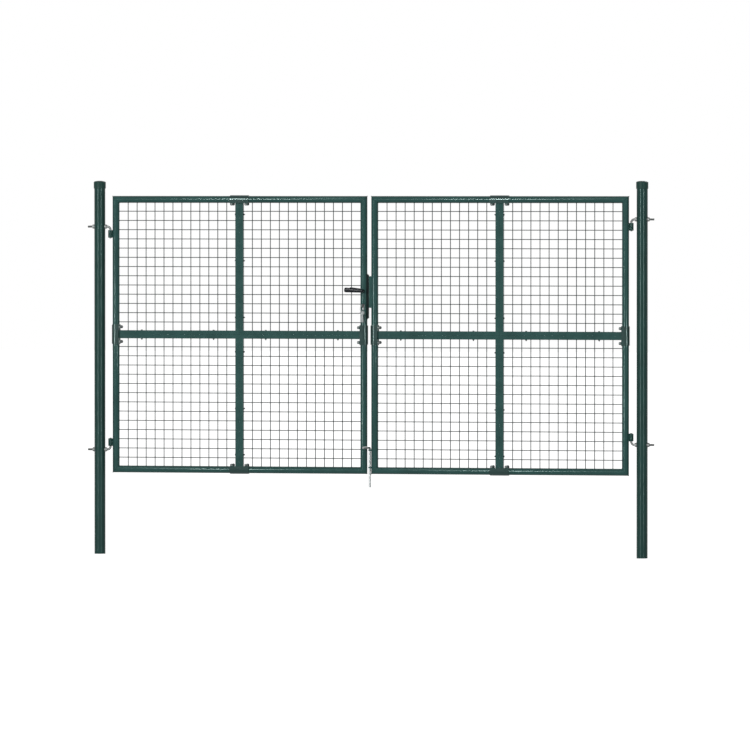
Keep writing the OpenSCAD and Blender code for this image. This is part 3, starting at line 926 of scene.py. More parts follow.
@dataclass
class Posts:
    """The two round posts with their plastic caps."""

    skirt_wall: float = 0.0027
    skirt_edge: float = 0.0006
    lid: float = 0.003
    rim: float = 0.0022
    dome: float = 0.006
    sides: int = 64

    def cap(self, label: str) -> bpy.types.Object:
        """Turns one cap: a skirt with a rolled rim, a shoulder and a low dome.

        Args:
            label: Side of the post.

        Returns:
            The cap.
        """
        low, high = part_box(f"{label}_post_cap")
        radius, shoulder, edge = (high.x - low.x) / 2, high.z - self.dome, self.skirt_edge
        inner, span = radius - self.skirt_wall, radius - self.rim
        profile = [(inner, shoulder - self.lid), (inner, low.z + edge), (inner + edge, low.z)]
        profile += [(radius - edge, low.z), (radius, low.z + edge), (radius, shoulder - self.rim)]
        for a in quarter(steps=5, first=1):
            inset, drop = self.rim * (1 - math.cos(a)), self.rim * (1 - math.sin(a))
            profile.append((radius - inset, shoulder - drop))
        for a in quarter(steps=8, first=1):
            profile.append((span * math.cos(a), shoulder + self.dome * math.sin(a)))
        shell = Shell(step(x=(low.x + high.x) / 2))
        shell.lathe(profile, self.sides)
        return shell.build(f"{label}_post_cap_shell")

    def make(self, shop: Workshop) -> None:
        """Dresses the posts and mounts the caps.

        Args:
            shop: Workshop that mounts the pieces.
        """
        for label in ("left", "right"):
            # The posts take the darker copy of the green coat, which paints their shade.
            shop.keep(f"{label}_post", "shaded_post_coat")
            shop.mount(self.cap(label), Body.POSTS, "cap", f"{label}_post_cap")


@dataclass
class HookHinges:
    """Hook bolts through the posts with their nuts and washers, and the knuckles on the leaves."""

    rod_d: float = 0.012
    bend: float = 0.017
    chamfer: float = 0.0015
    post_d: float = 0.060
    pitch: float = 0.00175
    thread_lap: float = 0.001
    tail: float = 0.036
    nut_flats: float = 0.019
    nut_height: float = 0.008
    washer_height: float = 0.002
    knuckle_d: float = 0.025
    knuckle_length: float = 0.041
    knuckle_bore: float = 0.0126
    knuckle_edge: float = 0.0008
    weld: float = 0.0026
    weld_at: float = 0.0046

    def hook(self, label: str, level: str) -> bpy.types.Object:
        """Bends one hook bolt: threaded shank, quarter bend and chamfered pin.

        Args:
            label: Side of the post.
            level: Place on the post; the lower hook's pin points up, the upper one's down.

        Returns:
            The hook bolt.
        """
        low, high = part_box(f"{label}_{level}_hook")
        r = self.rod_d / 2
        sign, tail_x, pin_x = (1, low.x, high.x - r) if label == "left" else (-1, high.x, low.x + r)
        rise, z, pin_z = (1, low.z + r, high.z) if level == "lower" else (-1, high.z - r, low.z)
        reach = abs(pin_x - sign * self.bend - tail_x)
        threaded = self.tail + self.post_d + self.nut_height
        path = [Vector((tail_x + sign * x, 0, z)) for x in (threaded, reach)]
        for a in quarter(steps=8, first=1):
            out, climb = self.bend * math.sin(a), self.bend * (1 - math.cos(a))
            path.append(Vector((tail_x + sign * (reach + out), 0, z + rise * climb)))
        path += [Vector((pin_x, 0, pin_z - rise * self.chamfer)), Vector((pin_x, 0, pin_z))]
        shell = Shell()
        shell.pipe(path, [r] * (len(path) - 1) + [r - self.chamfer])
        length = threaded + self.thread_lap
        shell.place = turned(Vector((-sign, 0, 0)), Vector((tail_x + sign * length, 0, z)))
        shell.thread(r, self.pitch, 0, length, sides=20)
        return shell.build(f"{label}_{level}_hook_bolt", smooth=40)

    def nuts(self) -> bpy.types.Object:
        """Makes the eight chamfered nuts that clamp the hook bolts to the posts.

        Returns:
            The nuts.
        """
        shell = Shell()
        inset, r = self.tail + self.post_d / 2, self.rod_d / 2
        seat = self.post_d / 2 + self.washer_height
        for label in ("left", "right"):
            for level in ("upper", "lower"):
                low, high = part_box(f"{label}_{level}_hook")
                x = low.x + inset if label == "left" else high.x - inset
                z = low.z + r if level == "lower" else high.z - r
                for out in (-1, 1):
                    shell.place = turned(Vector((out, 0, 0)), Vector((x + out * seat, 0, z)))
                    shell.hexagon(self.nut_flats, 0, self.nut_height, both=True, sides=36)
        return shell.build("hook_bolt_nuts", smooth=28)

    def knuckles(self, side: Side) -> bpy.types.Object:
        """Makes the hinge knuckles of one leaf with their welds.

        Args:
            side: The leaf.

        Returns:
            The knuckles.
        """
        low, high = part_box(f"{side.label}_knuckles")
        half, edge = self.knuckle_length / 2, self.knuckle_edge
        outer, inner = self.knuckle_d / 2, self.knuckle_bore / 2
        x = low.x + outer if side is Side.LEFT else high.x - outer
        profile = [(inner, -half + edge), (inner + edge, -half)]
        profile += [(outer - edge, -half), (outer, -half + edge)]
        profile += [(r, -z) for r, z in reversed(profile)]
        shell = Shell()
        for middle in (low.z + half, high.z - half):
            shell.place = step(x, 0, middle)
            shell.loft([flat(circle(r, sides=40), z=z) for r, z in profile], loop=True)
            shell.place = step()
            for y in (-self.weld_at, self.weld_at):
                touch = Vector((x + side.value * outer, y, middle))
                shell.seam(touch, half - self.weld, self.weld)
        return shell.build(f"{side.label}_hinge_knuckles", smooth=50)

    def make(self, shop: Workshop) -> None:
        """Mounts the hooks, nuts, washers and knuckles.

        Args:
            shop: Workshop that mounts the pieces.
        """
        for label in ("left", "right"):
            for level in ("upper", "lower"):
                hook = self.hook(label, level)
                shop.mount(hook, Body.POSTS, "dull_zinc", f"{label}_{level}_hook")
        shop.mount(self.nuts(), Body.POSTS, "dull_zinc", "hinge_nuts")
        shop.keep("hinge_washers", "dull_zinc")
        for side in Side:
            # The knuckles take the darker copy of the green coat, which paints the shade beside the
            # posts.
            shop.mount(self.knuckles(side), side.body, "shaded_post_coat", f"{side.label}_knuckles")


# ---- Leaves ----


@dataclass(frozen=True)
class Leaf:
    """One leaf's own frame: X from the hinge edge to the lock edge, Z up from its underside."""

    side: Side
    tube_d: float = 0.038
    bar_side: float = 0.022
    gap: float = 0.022

    def ends(self) -> tuple[Vector, Vector]:
        """Gives the lowest and highest corners of the leaf's frame.

        Returns:
            Both corners, in the row frame.
        """
        kinds = [f"{level}_{end}" for level in ("lower", "upper") for end in ("hinge", "lock")]
        boxes = [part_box(f"{self.side.label}_frame_{kind}") for kind in kinds]
        low = Vector(min(box[0][i] for box in boxes) for i in range(3))
        return low, Vector(max(box[1][i] for box in boxes) for i in range(3))

    @property
    def width(self) -> float:
        """Width of the leaf."""
        low, high = self.ends()
        return high.x - low.x

    @property
    def height(self) -> float:
        """Height of the leaf."""
        low, high = self.ends()
        return high.z - low.z

    def place(self) -> Matrix:
        """Gives the matrix from the leaf's frame to the row frame.

        Returns:
            The matrix, which mirrors the right leaf.
        """
        low, high = self.ends()
        hinge_x = low.x if self.side is Side.LEFT else high.x
        return step(hinge_x, 0, low.z) @ Matrix.Diagonal((self.side.value, 1, 1, 1))

    def at(self, x: float = 0.0, y: float = 0.0, z: float = 0.0) -> Matrix:
        """Gives the matrix from a place on the leaf to the row frame."""
        return self.place() @ step(x, y, z)


@dataclass
class QuarterPanel:
    """One welded quarter of a leaf: half of the round frame, of the middle bars and of the wires.

    The panel's own frame starts at its outer corner, with X and Z towards the leaf's middle.
    """

    leaf: Leaf
    upper: bool
    lock: bool
    bar_corner: float = 0.0007
    pitch: float = 0.050
    wire_d: float = 0.0045
    wire_weld: float = 0.001
    tuck: float = 0.004
    bead: float = 0.0019
    bead_step: float = 0.0022
    mitre_share: float = 0.85
    mitre_ripple: float = 0.2
    spot: Pair = (0.0031, 0.0011)
    end_spot: Pair = (0.0034, 0.0018)
    end_inset: float = 0.0004

    @property
    def label(self) -> str:
        """Name that the panel's nodes share after their kind."""
        return f"{'upper' if self.upper else 'lower'}_{'lock' if self.lock else 'hinge'}"

    def frame_place(self) -> tuple[Matrix, float, float]:
        """Gives the place of the panel's own frame.

        Returns:
            The matrix to the row frame, the panel's width and its height.
        """
        low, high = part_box(f"{self.leaf.side.label}_frame_{self.label}")
        from_left = (self.leaf.side is Side.LEFT) != self.lock
        corner = step(low.x if from_left else high.x, 0, high.z if self.upper else low.z)
        flip = Matrix.Diagonal((1 if from_left else -1, 1, -1 if self.upper else 1, 1))
        return corner @ flip, high.x - low.x, high.z - low.z

    def saddle(self, along: Vector, crosswise: Vector, middle: Vector) -> Ring:
        """Gives the line where a square bar meets the round tube.

        Args:
            along: Direction of the bar, away from the tube.
            crosswise: Direction of the tube.
            middle: Point of the tube's centre line below the bar's middle.

        Returns:
            Points of the closed line, none further apart than the bead's step.
        """
        points = []
        side = self.leaf.bar_side
        for y, s in rounded_box(side, side, self.bar_corner, steps=3):
            rise = math.sqrt((self.leaf.tube_d / 2) ** 2 - y ** 2)
            points.append(middle + along * rise + crosswise * s + Vector((0, y, 0)))
        filled = []
        for a, b in zip(points, points[1:] + points[:1]):
            count = max(1, math.ceil((b - a).length / self.bead_step))
            filled += [a.lerp(b, i / count) for i in range(count)]
        return filled

    def steel(self) -> bpy.types.Object:
        """Makes the tubes with their weld beads.

        Returns:
            The welded frame.
        """
        place, width, height = self.frame_place()
        radius, side = self.leaf.tube_d / 2, self.leaf.bar_side
        bar_x, bar_z = width - side / 2, height - side / 2
        shell = Shell(place)
        for start, corner, end, outline in (
            ((width, radius), (radius, radius), (radius, height), circle(radius, sides=48)),
            ((bar_x, radius), (bar_x, bar_z), (radius, bar_z),
             rounded_box(side, side, self.bar_corner)),
        ):
            shell.sweep(facing_front((start, corner, end)), outline)
        middle = Vector((radius, 0, radius))
        mitre = [middle + Vector((x, y, x)) for x, y in circle(radius, sides=56)]
        axis = Vector((1, 0, -1)).normalized()
        shell.bead(mitre, self.bead * self.mitre_share, axis, self.mitre_ripple)
        right, up = Vector((1, 0, 0)), Vector((0, 0, 1))
        shell.bead(self.saddle(up, right, Vector((bar_x, 0, radius))), self.bead, up)
        shell.bead(self.saddle(right, up, Vector((radius, 0, bar_z))), self.bead, right)
        return shell.build(f"{self.leaf.side.label}_{self.label}_frame", smooth=40)

    def spaced(self, pane: float) -> list[float]:
        """Gives the places of the wires across a pane, as many as fit, set in its middle.

        Args:
            pane: Free length between the tube and the bar.

        Returns:
            Distances from the panel's outer edge.
        """
        count = int(pane / self.pitch)
        first = self.leaf.tube_d + (pane - (count - 1) * self.pitch) / 2
        return [first + i * self.pitch for i in range(count)]

    def wires(self) -> bpy.types.Object:
        """Makes the wires with a weld at every crossing and at every end.

        Returns:
            The mesh sheet.
        """
        place, width, height = self.frame_place()
        shell, edge, radius = Shell(place), self.leaf.tube_d, self.wire_d / 2
        pane_w, pane_h = (size - edge - self.leaf.bar_side for size in (width, height))
        columns, rows = self.spaced(pane_w), self.spaced(pane_h)
        shift, near = (self.wire_d - self.wire_weld) / 2, edge - self.tuck
        for x in columns:
            bottom = Vector((x, -shift, near))
            shell.rod(bottom, Vector((x, -shift, edge + pane_h + self.tuck)), radius)
        for z in rows:
            start = Vector((near, shift, z))
            shell.rod(start, Vector((edge + pane_w + self.tuck, shift, z)), radius)
        wide, deep = self.spot
        for x in columns:
            for z in rows:
                shell.blob(Vector((x, 0, z)), Vector((wide, deep, wide)))
        wide, thin = self.end_spot
        for x in columns:
            for z in (edge - self.end_inset, edge + pane_h):
                shell.blob(Vector((x, -shift, z)), Vector((wide, wide, thin)))
        for z in rows:
            for x in (edge - self.end_inset, edge + pane_w):
                shell.blob(Vector((x, shift, z)), Vector((thin, wide, wide)))
        return shell.build(f"{self.leaf.side.label}_{self.label}_mesh", smooth=60)

    def make(self, shop: Workshop) -> None:
        """Mounts the panel's tubes and wires.

        Args:
            shop: Workshop that mounts the pieces.
        """
        body, label = self.leaf.side.body, self.leaf.side.label
        shop.mount(self.steel(), body, "coat", f"{label}_frame_{self.label}")
        shop.mount(self.wires(), body, "wire", f"{label}_mesh_{self.label}")


@dataclass(frozen=True)
class Bolt:
    """Hexagon bolt with its nut, along local Z with the head at the lower end."""

    grip: float
    diameter: float = 0.006
    flats_share: float = 1.6
    head_share: float = 0.65
    tail: float = 0.004
    pitch: float = 0.001
    thread_lap: float = 0.1

    def add(self, shell: Shell, place: Matrix) -> None:
        """Adds head, shank, nut and thread to a shell.

        Args:
            shell: Shell that collects the forms.
            place: Matrix of the bolt's middle.
        """
        half, radius = self.grip / 2, self.diameter / 2
        flats, head = self.flats_share * self.diameter, self.head_share * self.diameter
        shell.place = place @ step(z=-half) @ turn(180, "X")
        shell.hexagon(flats, 0, head, both=False, sides=24)
        shell.place = place
        shell.hexagon(flats, half, head, both=True, sides=24)
        shell.rod(Vector((0, 0, -half)), Vector((0, 0, half + head)), radius)
        start = half + head * (1 - self.thread_lap)
        shell.thread(radius, self.pitch, start, half + head + self.tail, sides=12)


@dataclass
class Sleeves:
    """Bent saddle sleeves over the four tube joints of a leaf, with bolts through their ears."""

    leaf: Leaf
    fit: float = 0.0001
    length: float = 0.108
    chamfer: float = 0.004
    wall: float = 0.004
    ear_offset: float = 0.040
    ear_width: float = 0.016
    ear_reach: float = 0.014
    ear_corner: float = 0.0065
    ear_fold: float = 0.7
    edge: float = 0.0007
    bends: int = 24

    def joints(self) -> list[Matrix]:
        """Gives the places of the sleeves.

        Returns:
            The bottom, top, hinge and lock joints, each with Z towards the leaf's middle.
        """
        width, height, r = self.leaf.width, self.leaf.height, self.leaf.tube_d / 2
        return [
            self.leaf.at(x=width / 2, z=r),
            self.leaf.at(x=width / 2, z=height - r) @ turn(180, "Y"),
            self.leaf.at(x=r, z=height / 2) @ turn(90, "Y"),
            self.leaf.at(x=width - r, z=height / 2) @ turn(-90, "Y"),
        ]

    def half_length(self, z: float) -> float:
        """Gives half the sheet's length at a height, shorter where the ends are chamfered.

        Args:
            z: Height above the tube's centre line.

        Returns:
            Half the length.
        """
        root = self.leaf.tube_d / 4
        share = (-root - z) / (self.leaf.tube_d / 2 + self.fit + self.wall - root)
        return self.length / 2 - self.chamfer * min(1.0, max(0.0, share))

    def section(self) -> list[Pair]:
        """Gives the middle line of the bent sheet across the tube.

        Returns:
            Points from ear tip to ear tip.
        """
        r = self.leaf.tube_d / 2
        middle, tip = r + self.fit + self.wall / 2, r + self.ear_reach
        rise = [tip - self.ear_corner * (1 - math.cos(a)) for a in quarter(steps=4)]
        rise += [tip - self.ear_reach * self.ear_fold, r, r / 2]
        bow = arc(middle, [math.pi * (1 + i / self.bends) for i in range(self.bends + 1)])
        return [(-middle, z) for z in rise] + bow + [(middle, z) for z in reversed(rise)]

    def add_sheet(self, shell: Shell) -> None:
        """Adds the developed and bent sheet of one sleeve to a shell.

        Args:
            shell: Shell that collects the forms.
        """
        half, ear, parts, hair = self.length / 2, self.ear_width / 2, 3, 1e-6
        ear_x = [self.ear_offset + ear * k / parts for k in range(-parts, parts + 1)]
        right = [ear_x[0] / 2, *ear_x, half]
        columns = [*(-x for x in reversed(right)), 0.0, *right]
        root, tip = self.leaf.tube_d / 2, self.leaf.tube_d / 2 + self.ear_reach
        section = self.section()

        def column(x: float, z: float, width: float) -> float:
            """Moves a column in where the ear narrows or the sheet's end is chamfered.

            Args:
                x: Place of the column on the plain sheet.
                z: Height of the row.
                width: Half of the ear's width in the row.

            Returns:
                Place of the column in the row.
            """
            if z > root + hair and ear_x[0] - hair < abs(x) < ear_x[-1] + hair:
                moved = self.ear_offset + (abs(x) - self.ear_offset) * width / ear
                return math.copysign(moved, x)
            return x * (self.half_length(z) / half) if z < 0 else x

        grid = []
        for y, z in section:
            short = max(0.0, self.ear_corner - (tip - z))
            round_off = math.sqrt(max(0.0, self.ear_corner ** 2 - short ** 2))
            narrow = ear - self.ear_corner + round_off
            grid.append([Vector((column(x, z, narrow), y, z)) for x in columns])

        def solid(i: int, j: int) -> bool:
            """Tells whether the sheet goes on in this cell."""
            x, z = abs(columns[j] + columns[j + 1]) / 2, max(section[i][1], section[i + 1][1])
            return z <= root + hair or ear_x[0] < x < ear_x[-1]

        shell.sheet(grid, solid)

    def make(self, shop: Workshop) -> None:
        """Mounts the sleeves and their bolts.

        Args:
            shop: Workshop that mounts the pieces.
        """
        label, body, tube_d = self.leaf.side.label, self.leaf.side.body, self.leaf.tube_d
        sheets, bolts = Shell(), Shell()
        bolt = Bolt(grip=tube_d + 2 * (self.fit + self.wall))
        for joint in self.joints():
            sheets.place = joint
            self.add_sheet(sheets)
            for x in (-self.ear_offset, self.ear_offset):
                middle = step(x, 0, (tube_d + self.ear_reach) / 2)
                bolt.add(bolts, joint @ middle @ turn(-90, "X"))
        made = sheets.build(f"{label}_saddle_sleeves", bevel=self.edge, thickness=self.wall)
        shop.mount(made, body, "sleeve", f"{label}_sleeves")
        made = bolts.build(f"{label}_ear_bolts", smooth=28)
        # The ear bolts take the darker zinc, which paints their shade.
        shop.mount(made, body, "shaded_zinc", f"{label}_sleeve_bolts")


@dataclass
class BarBolts:
    """Bolts that hold the quarter panels of a leaf together through their square bars."""

    leaf: Leaf
    upright_near: float = 0.093
    upright_mid: float = 0.400
    upright_end: float = 0.062
    level_near: float = 0.145
    level_end: float = 0.125

    def make(self, shop: Workshop) -> None:
        """Mounts the bolts of the upright and the level pair of bars.

        Args:
            shop: Workshop that mounts the pieces.
        """
        leaf, shell, bolt = self.leaf, Shell(), Bolt(grip=2 * self.leaf.bar_side)
        width, height = leaf.width, leaf.height
        uprights = [height / 2 - self.upright_near, height / 2 - self.upright_mid]
        for z in (*uprights, leaf.tube_d + self.upright_end):
            for level in (z, height - z):
                bolt.add(shell, leaf.at(x=width / 2, z=level) @ turn(90, "Y"))
        for x in (width / 2 - self.level_near, leaf.tube_d + self.level_end):
            for along in (x, width - x):
                bolt.add(shell, leaf.at(x=along, z=height / 2) @ turn(180, "Y"))
        label = leaf.side.label
        piece = shell.build(f"{label}_panel_bolts", smooth=28)
        # The panel bolts take the darker zinc, which paints their shade.
        shop.mount(piece, leaf.side.body, "shaded_zinc", f"{label}_bar_bolts")


# ---- Lock, keys and bolts ----


@dataclass
class Lock:
    """Lock in the left leaf's stile: face plate, key cylinder, lever and latch."""

    leaf: Leaf
    lever_rise: float = 0.238
    lever_length: float = 0.096
    lever_grip: float = 0.026
    lever_thick: float = 0.011
    lever_stand: float = 0.034
    lever_slope: float = 4.0
    lever_neck: float = 0.017
    lever_waist: float = 0.8
    face_top: float = 0.331
    face_bottom: float = 0.085
    face_proud: float = 0.008
    face_width: float = 0.022
    face_cover: float = 0.0025
    face_sunk: float = 0.006
    face_lip: float = 0.0004
    screw_inset: float = 0.022
    screw_radius: float = 0.0041
    screw_fit: float = 0.0002
    screw_sunk: float = 0.0003
    socket_radius: float = 0.0017
    latch_drop: float = 0.024
    latch_height: float = 0.016
    latch_thick: float = 0.008
    latch_throw: float = 0.011
    latch_fit: float = 0.0003
    latch_nose: float = 0.001
    latch_root: float = 0.003
    key_rise: float = 0.159
    cylinder_d: float = 0.017
    cylinder_web: float = 0.010
    cylinder_height: float = 0.033
    cylinder_proud: float = 0.004
    core_radius: float = 0.0062
    core_fit: float = 0.0002
    core_depth: float = 0.003
    core_lip: float = 0.0004
    key_slot: Pair = (0.0022, 0.0082)

    @property
    def middle(self) -> float:
        """Height of the leaf's middle above its underside."""
        return self.leaf.height / 2

    @property
    def stile(self) -> float:
        """Place of the stile's centre line."""
        return self.leaf.width - self.leaf.tube_d / 2

    @property
    def latch_z(self) -> float:
        """Height of the latch's middle."""
        return self.middle + self.lever_rise - self.latch_drop

    @property
    def face_ends(self) -> Pair:
        """Heights of the face plate's lower and upper end."""
        return self.middle + self.face_bottom, self.middle + self.face_top

    def face_plate(self) -> bpy.types.Object:
        """Makes the face plate: a body with sloped ends under a cover with three holes.

        Returns:
            The face plate.
        """
        shell = Shell(self.leaf.place())
        width, cover, fit = self.leaf.width, self.face_cover, self.latch_fit
        (low, high), back = self.face_ends, width - self.face_sunk
        edge, top = width + self.face_lip, width + self.face_proud - cover
        slope = self.face_proud
        rings = []
        for z, x in ((low, edge), (low + slope, top), (high - slope, top), (high, edge)):
            ring = rounded_box(x - back, self.face_width, corner=0.0016, steps=3)
            rings.append(flat(ring, x=(back + x) / 2, z=z))
        shell.loft(rings)
        span = high - low - 2 * slope
        outline = rounded_box(self.face_width, span + 2 * cover, corner=0.002)
        thick, height = self.latch_thick + 2 * fit, self.latch_height + 2 * fit
        latch = rounded_box(thick, height, corner=0.0008, steps=2)
        screw = circle(self.screw_radius + self.screw_fit, sides=24)
        holes = [facing_side(latch, top, self.latch_z)]
        for z in (low + self.screw_inset, high - self.screw_inset):
            holes.append(facing_side(screw, top, z))
        shell.plate(facing_side(outline, top, (low + high) / 2), holes, Vector((cover, 0, 0)))
        return shell.build("lock_face", bevel=0.0005)

    def face_screws(self) -> bpy.types.Object:
        """Makes the two countersunk screws of the face plate, each with a hexagon socket.

        Returns:
            The screws.
        """
        shell, (low, high) = Shell(), self.face_ends
        base = self.leaf.width + self.face_proud - self.face_cover
        head = flat(circle(self.screw_radius, sides=24))
        socket = flat(circle(self.socket_radius, sides=6))
        for z in (low + self.screw_inset, high - self.screw_inset):
            shell.place = self.leaf.at(base, 0, z) @ turn(90, "Y")
            shell.plate(head, [socket], Vector((0, 0, self.face_cover - self.screw_sunk)))
        return shell.build("lock_face_screws", bevel=0.0002)

    def cylinder_outline(self) -> list[Pair]:
        """Gives the outline of the key cylinder: a round head with a narrower rounded foot.

        Returns:
            Points of the outline.
        """
        r, web = self.cylinder_d / 2, self.cylinder_web / 2
        foot = r - self.cylinder_height + web
        start = -math.acos(web / r)
        span = math.pi - 2 * start
        fine, coarse = 32, 12
        head = arc(r, [start + span * i / fine for i in range(fine + 1)])
        toe = [math.pi * (1 + i / coarse) for i in range(coarse + 1)]
        return head + arc(web, toe, (0.0, foot))

    def key_cylinder(self) -> bpy.types.Object:
        """Makes the key cylinder with a turning core and a keyway at each end.

        Returns:
            The key cylinder.
        """
        shell, outline = Shell(), self.cylinder_outline()
        core, deep, z = self.core_radius, self.core_depth, self.middle + self.key_rise
        end = self.leaf.tube_d / 2 + self.cylinder_proud
        for way in (-1, 1):
            shell.place = self.leaf.at(self.stile, way * (end - deep), z)
            ring = facing_front(circle(core + self.core_fit, sides=28))
            depth = Vector((0, way * (deep - self.core_lip), 0))
            shell.plate(facing_front(outline), [ring], depth)
            slot = facing_front(rounded_box(*self.key_slot, corner=0.0004, steps=2))
            core_face = facing_front(circle(core, sides=28))
            shell.plate(core_face, [slot], Vector((0, way * deep, 0)))
        shell.place = self.leaf.at(self.stile, 0, z)
        shell.loft([facing_front(outline, y) for y in (deep - end, end - deep)])
        return shell.build("lock_key_cylinder", bevel=0.0003)

    def add_grip(self, shell: Shell) -> None:
        """Adds a lever's grip: a flattened, crowned bar that widens to a soft square tip.

        Args:
            shell: Shell that collects the forms; its X axis points from the grip to the neck.
        """
        neck, tip, half_t = self.lever_neck / 2, self.lever_grip / 2, self.lever_thick / 2
        length, knee = self.lever_length, self.lever_length - tip
        squareness, least, thinning, thinned_late, belly, crown = 3.2, 0.02, 0.75, 6, 0.8, 0.86
        rings, count, sides = [], 34, 32
        for i in range(count + 1):
            x = neck - (0.5 - 0.5 * math.cos(math.pi * i / count)) * (neck + length)
            height = neck + (tip - neck) * min(1.0, max(0.0, -x / knee))
            head, toe = max(0.0, x / neck), max(0.0, (-x - knee) / tip)
            close = (1 - head ** 2) ** 0.5 * (1 - toe ** squareness) ** (1 / squareness)
            thick = half_t * (1 - thinning * max(head, toe) ** thinned_late)
            ring = []
            for c, s in circle(1, sides):
                y = math.copysign(abs(c) ** belly, c) * thick
                z = math.copysign(abs(s) ** crown, s) * height * max(close, least)
                ring.append(Vector((x, y, z)))
            rings.append(ring)
        shell.loft(rings)

    def lever(self) -> bpy.types.Object:
        """Makes the lever: a collar and a neck at each side of the stile, with a grip on each.

        Returns:
            The lever.
        """
        shell, axis = Shell(), self.leaf.at(self.stile, 0, self.middle + self.lever_rise)
        neck, r = self.lever_neck / 2, self.leaf.tube_d / 2
        out, waist = self.lever_stand + self.lever_thick / 2, neck * self.lever_waist
        sunk, collar, edge, fall = 0.0025, 0.0045, 0.001, 0.002
        flare, seat, inset = 0.012, 0.003, 0.0004
        profile = [(neck, -sunk), (neck, collar), (neck - edge, collar + edge)]
        profile += [(waist, collar + edge + fall), (waist, out - flare)]
        profile += [(neck - inset, out - seat), (neck - inset, out)]
        for way in (-1, 1):
            shell.place = axis @ turn(-90 * way, "X") @ step(z=r)
            shell.lathe(profile)
            shell.place = axis @ step(y=way * (r + out)) @ turn(self.lever_slope, "Y")
            self.add_grip(shell)
        return shell.build("lever_handles", smooth=50)

    def latch(self) -> bpy.types.Object:
        """Makes the latch with its bevelled nose.

        Returns:
            The latch.
        """
        shell, low = Shell(self.leaf.place()), self.latch_z - self.latch_height / 2
        root, half, land = self.stile + self.latch_root, self.latch_thick / 2, self.latch_nose
        tip = self.leaf.width + self.face_proud + self.latch_throw
        nose = [(root, -half), (tip - self.latch_thick + land, -half)]
        nose += [(tip, half - land), (tip, half), (root, half)]
        shell.plate(flat(nose, z=low), [], Vector((0, 0, self.latch_height)))
        return shell.build("spring_latch", bevel=0.0005)

    def make(self, shop: Workshop) -> None:
        """Mounts the lock's pieces.

        Args:
            shop: Workshop that mounts the pieces.
        """
        shop.mount(self.face_plate(), Body.LEFT_LEAF, "black_steel", "lock_face_plate")
        shop.mount(self.face_screws(), Body.LEFT_LEAF, "zinc")
        shop.mount(self.key_cylinder(), Body.LEFT_LEAF, "nickel", "key_cylinder")
        shop.mount(self.lever(), Body.LEVER, "black", "lock_lever")
        shop.mount(self.latch(), Body.LATCH, "zinc", "lock_latch")


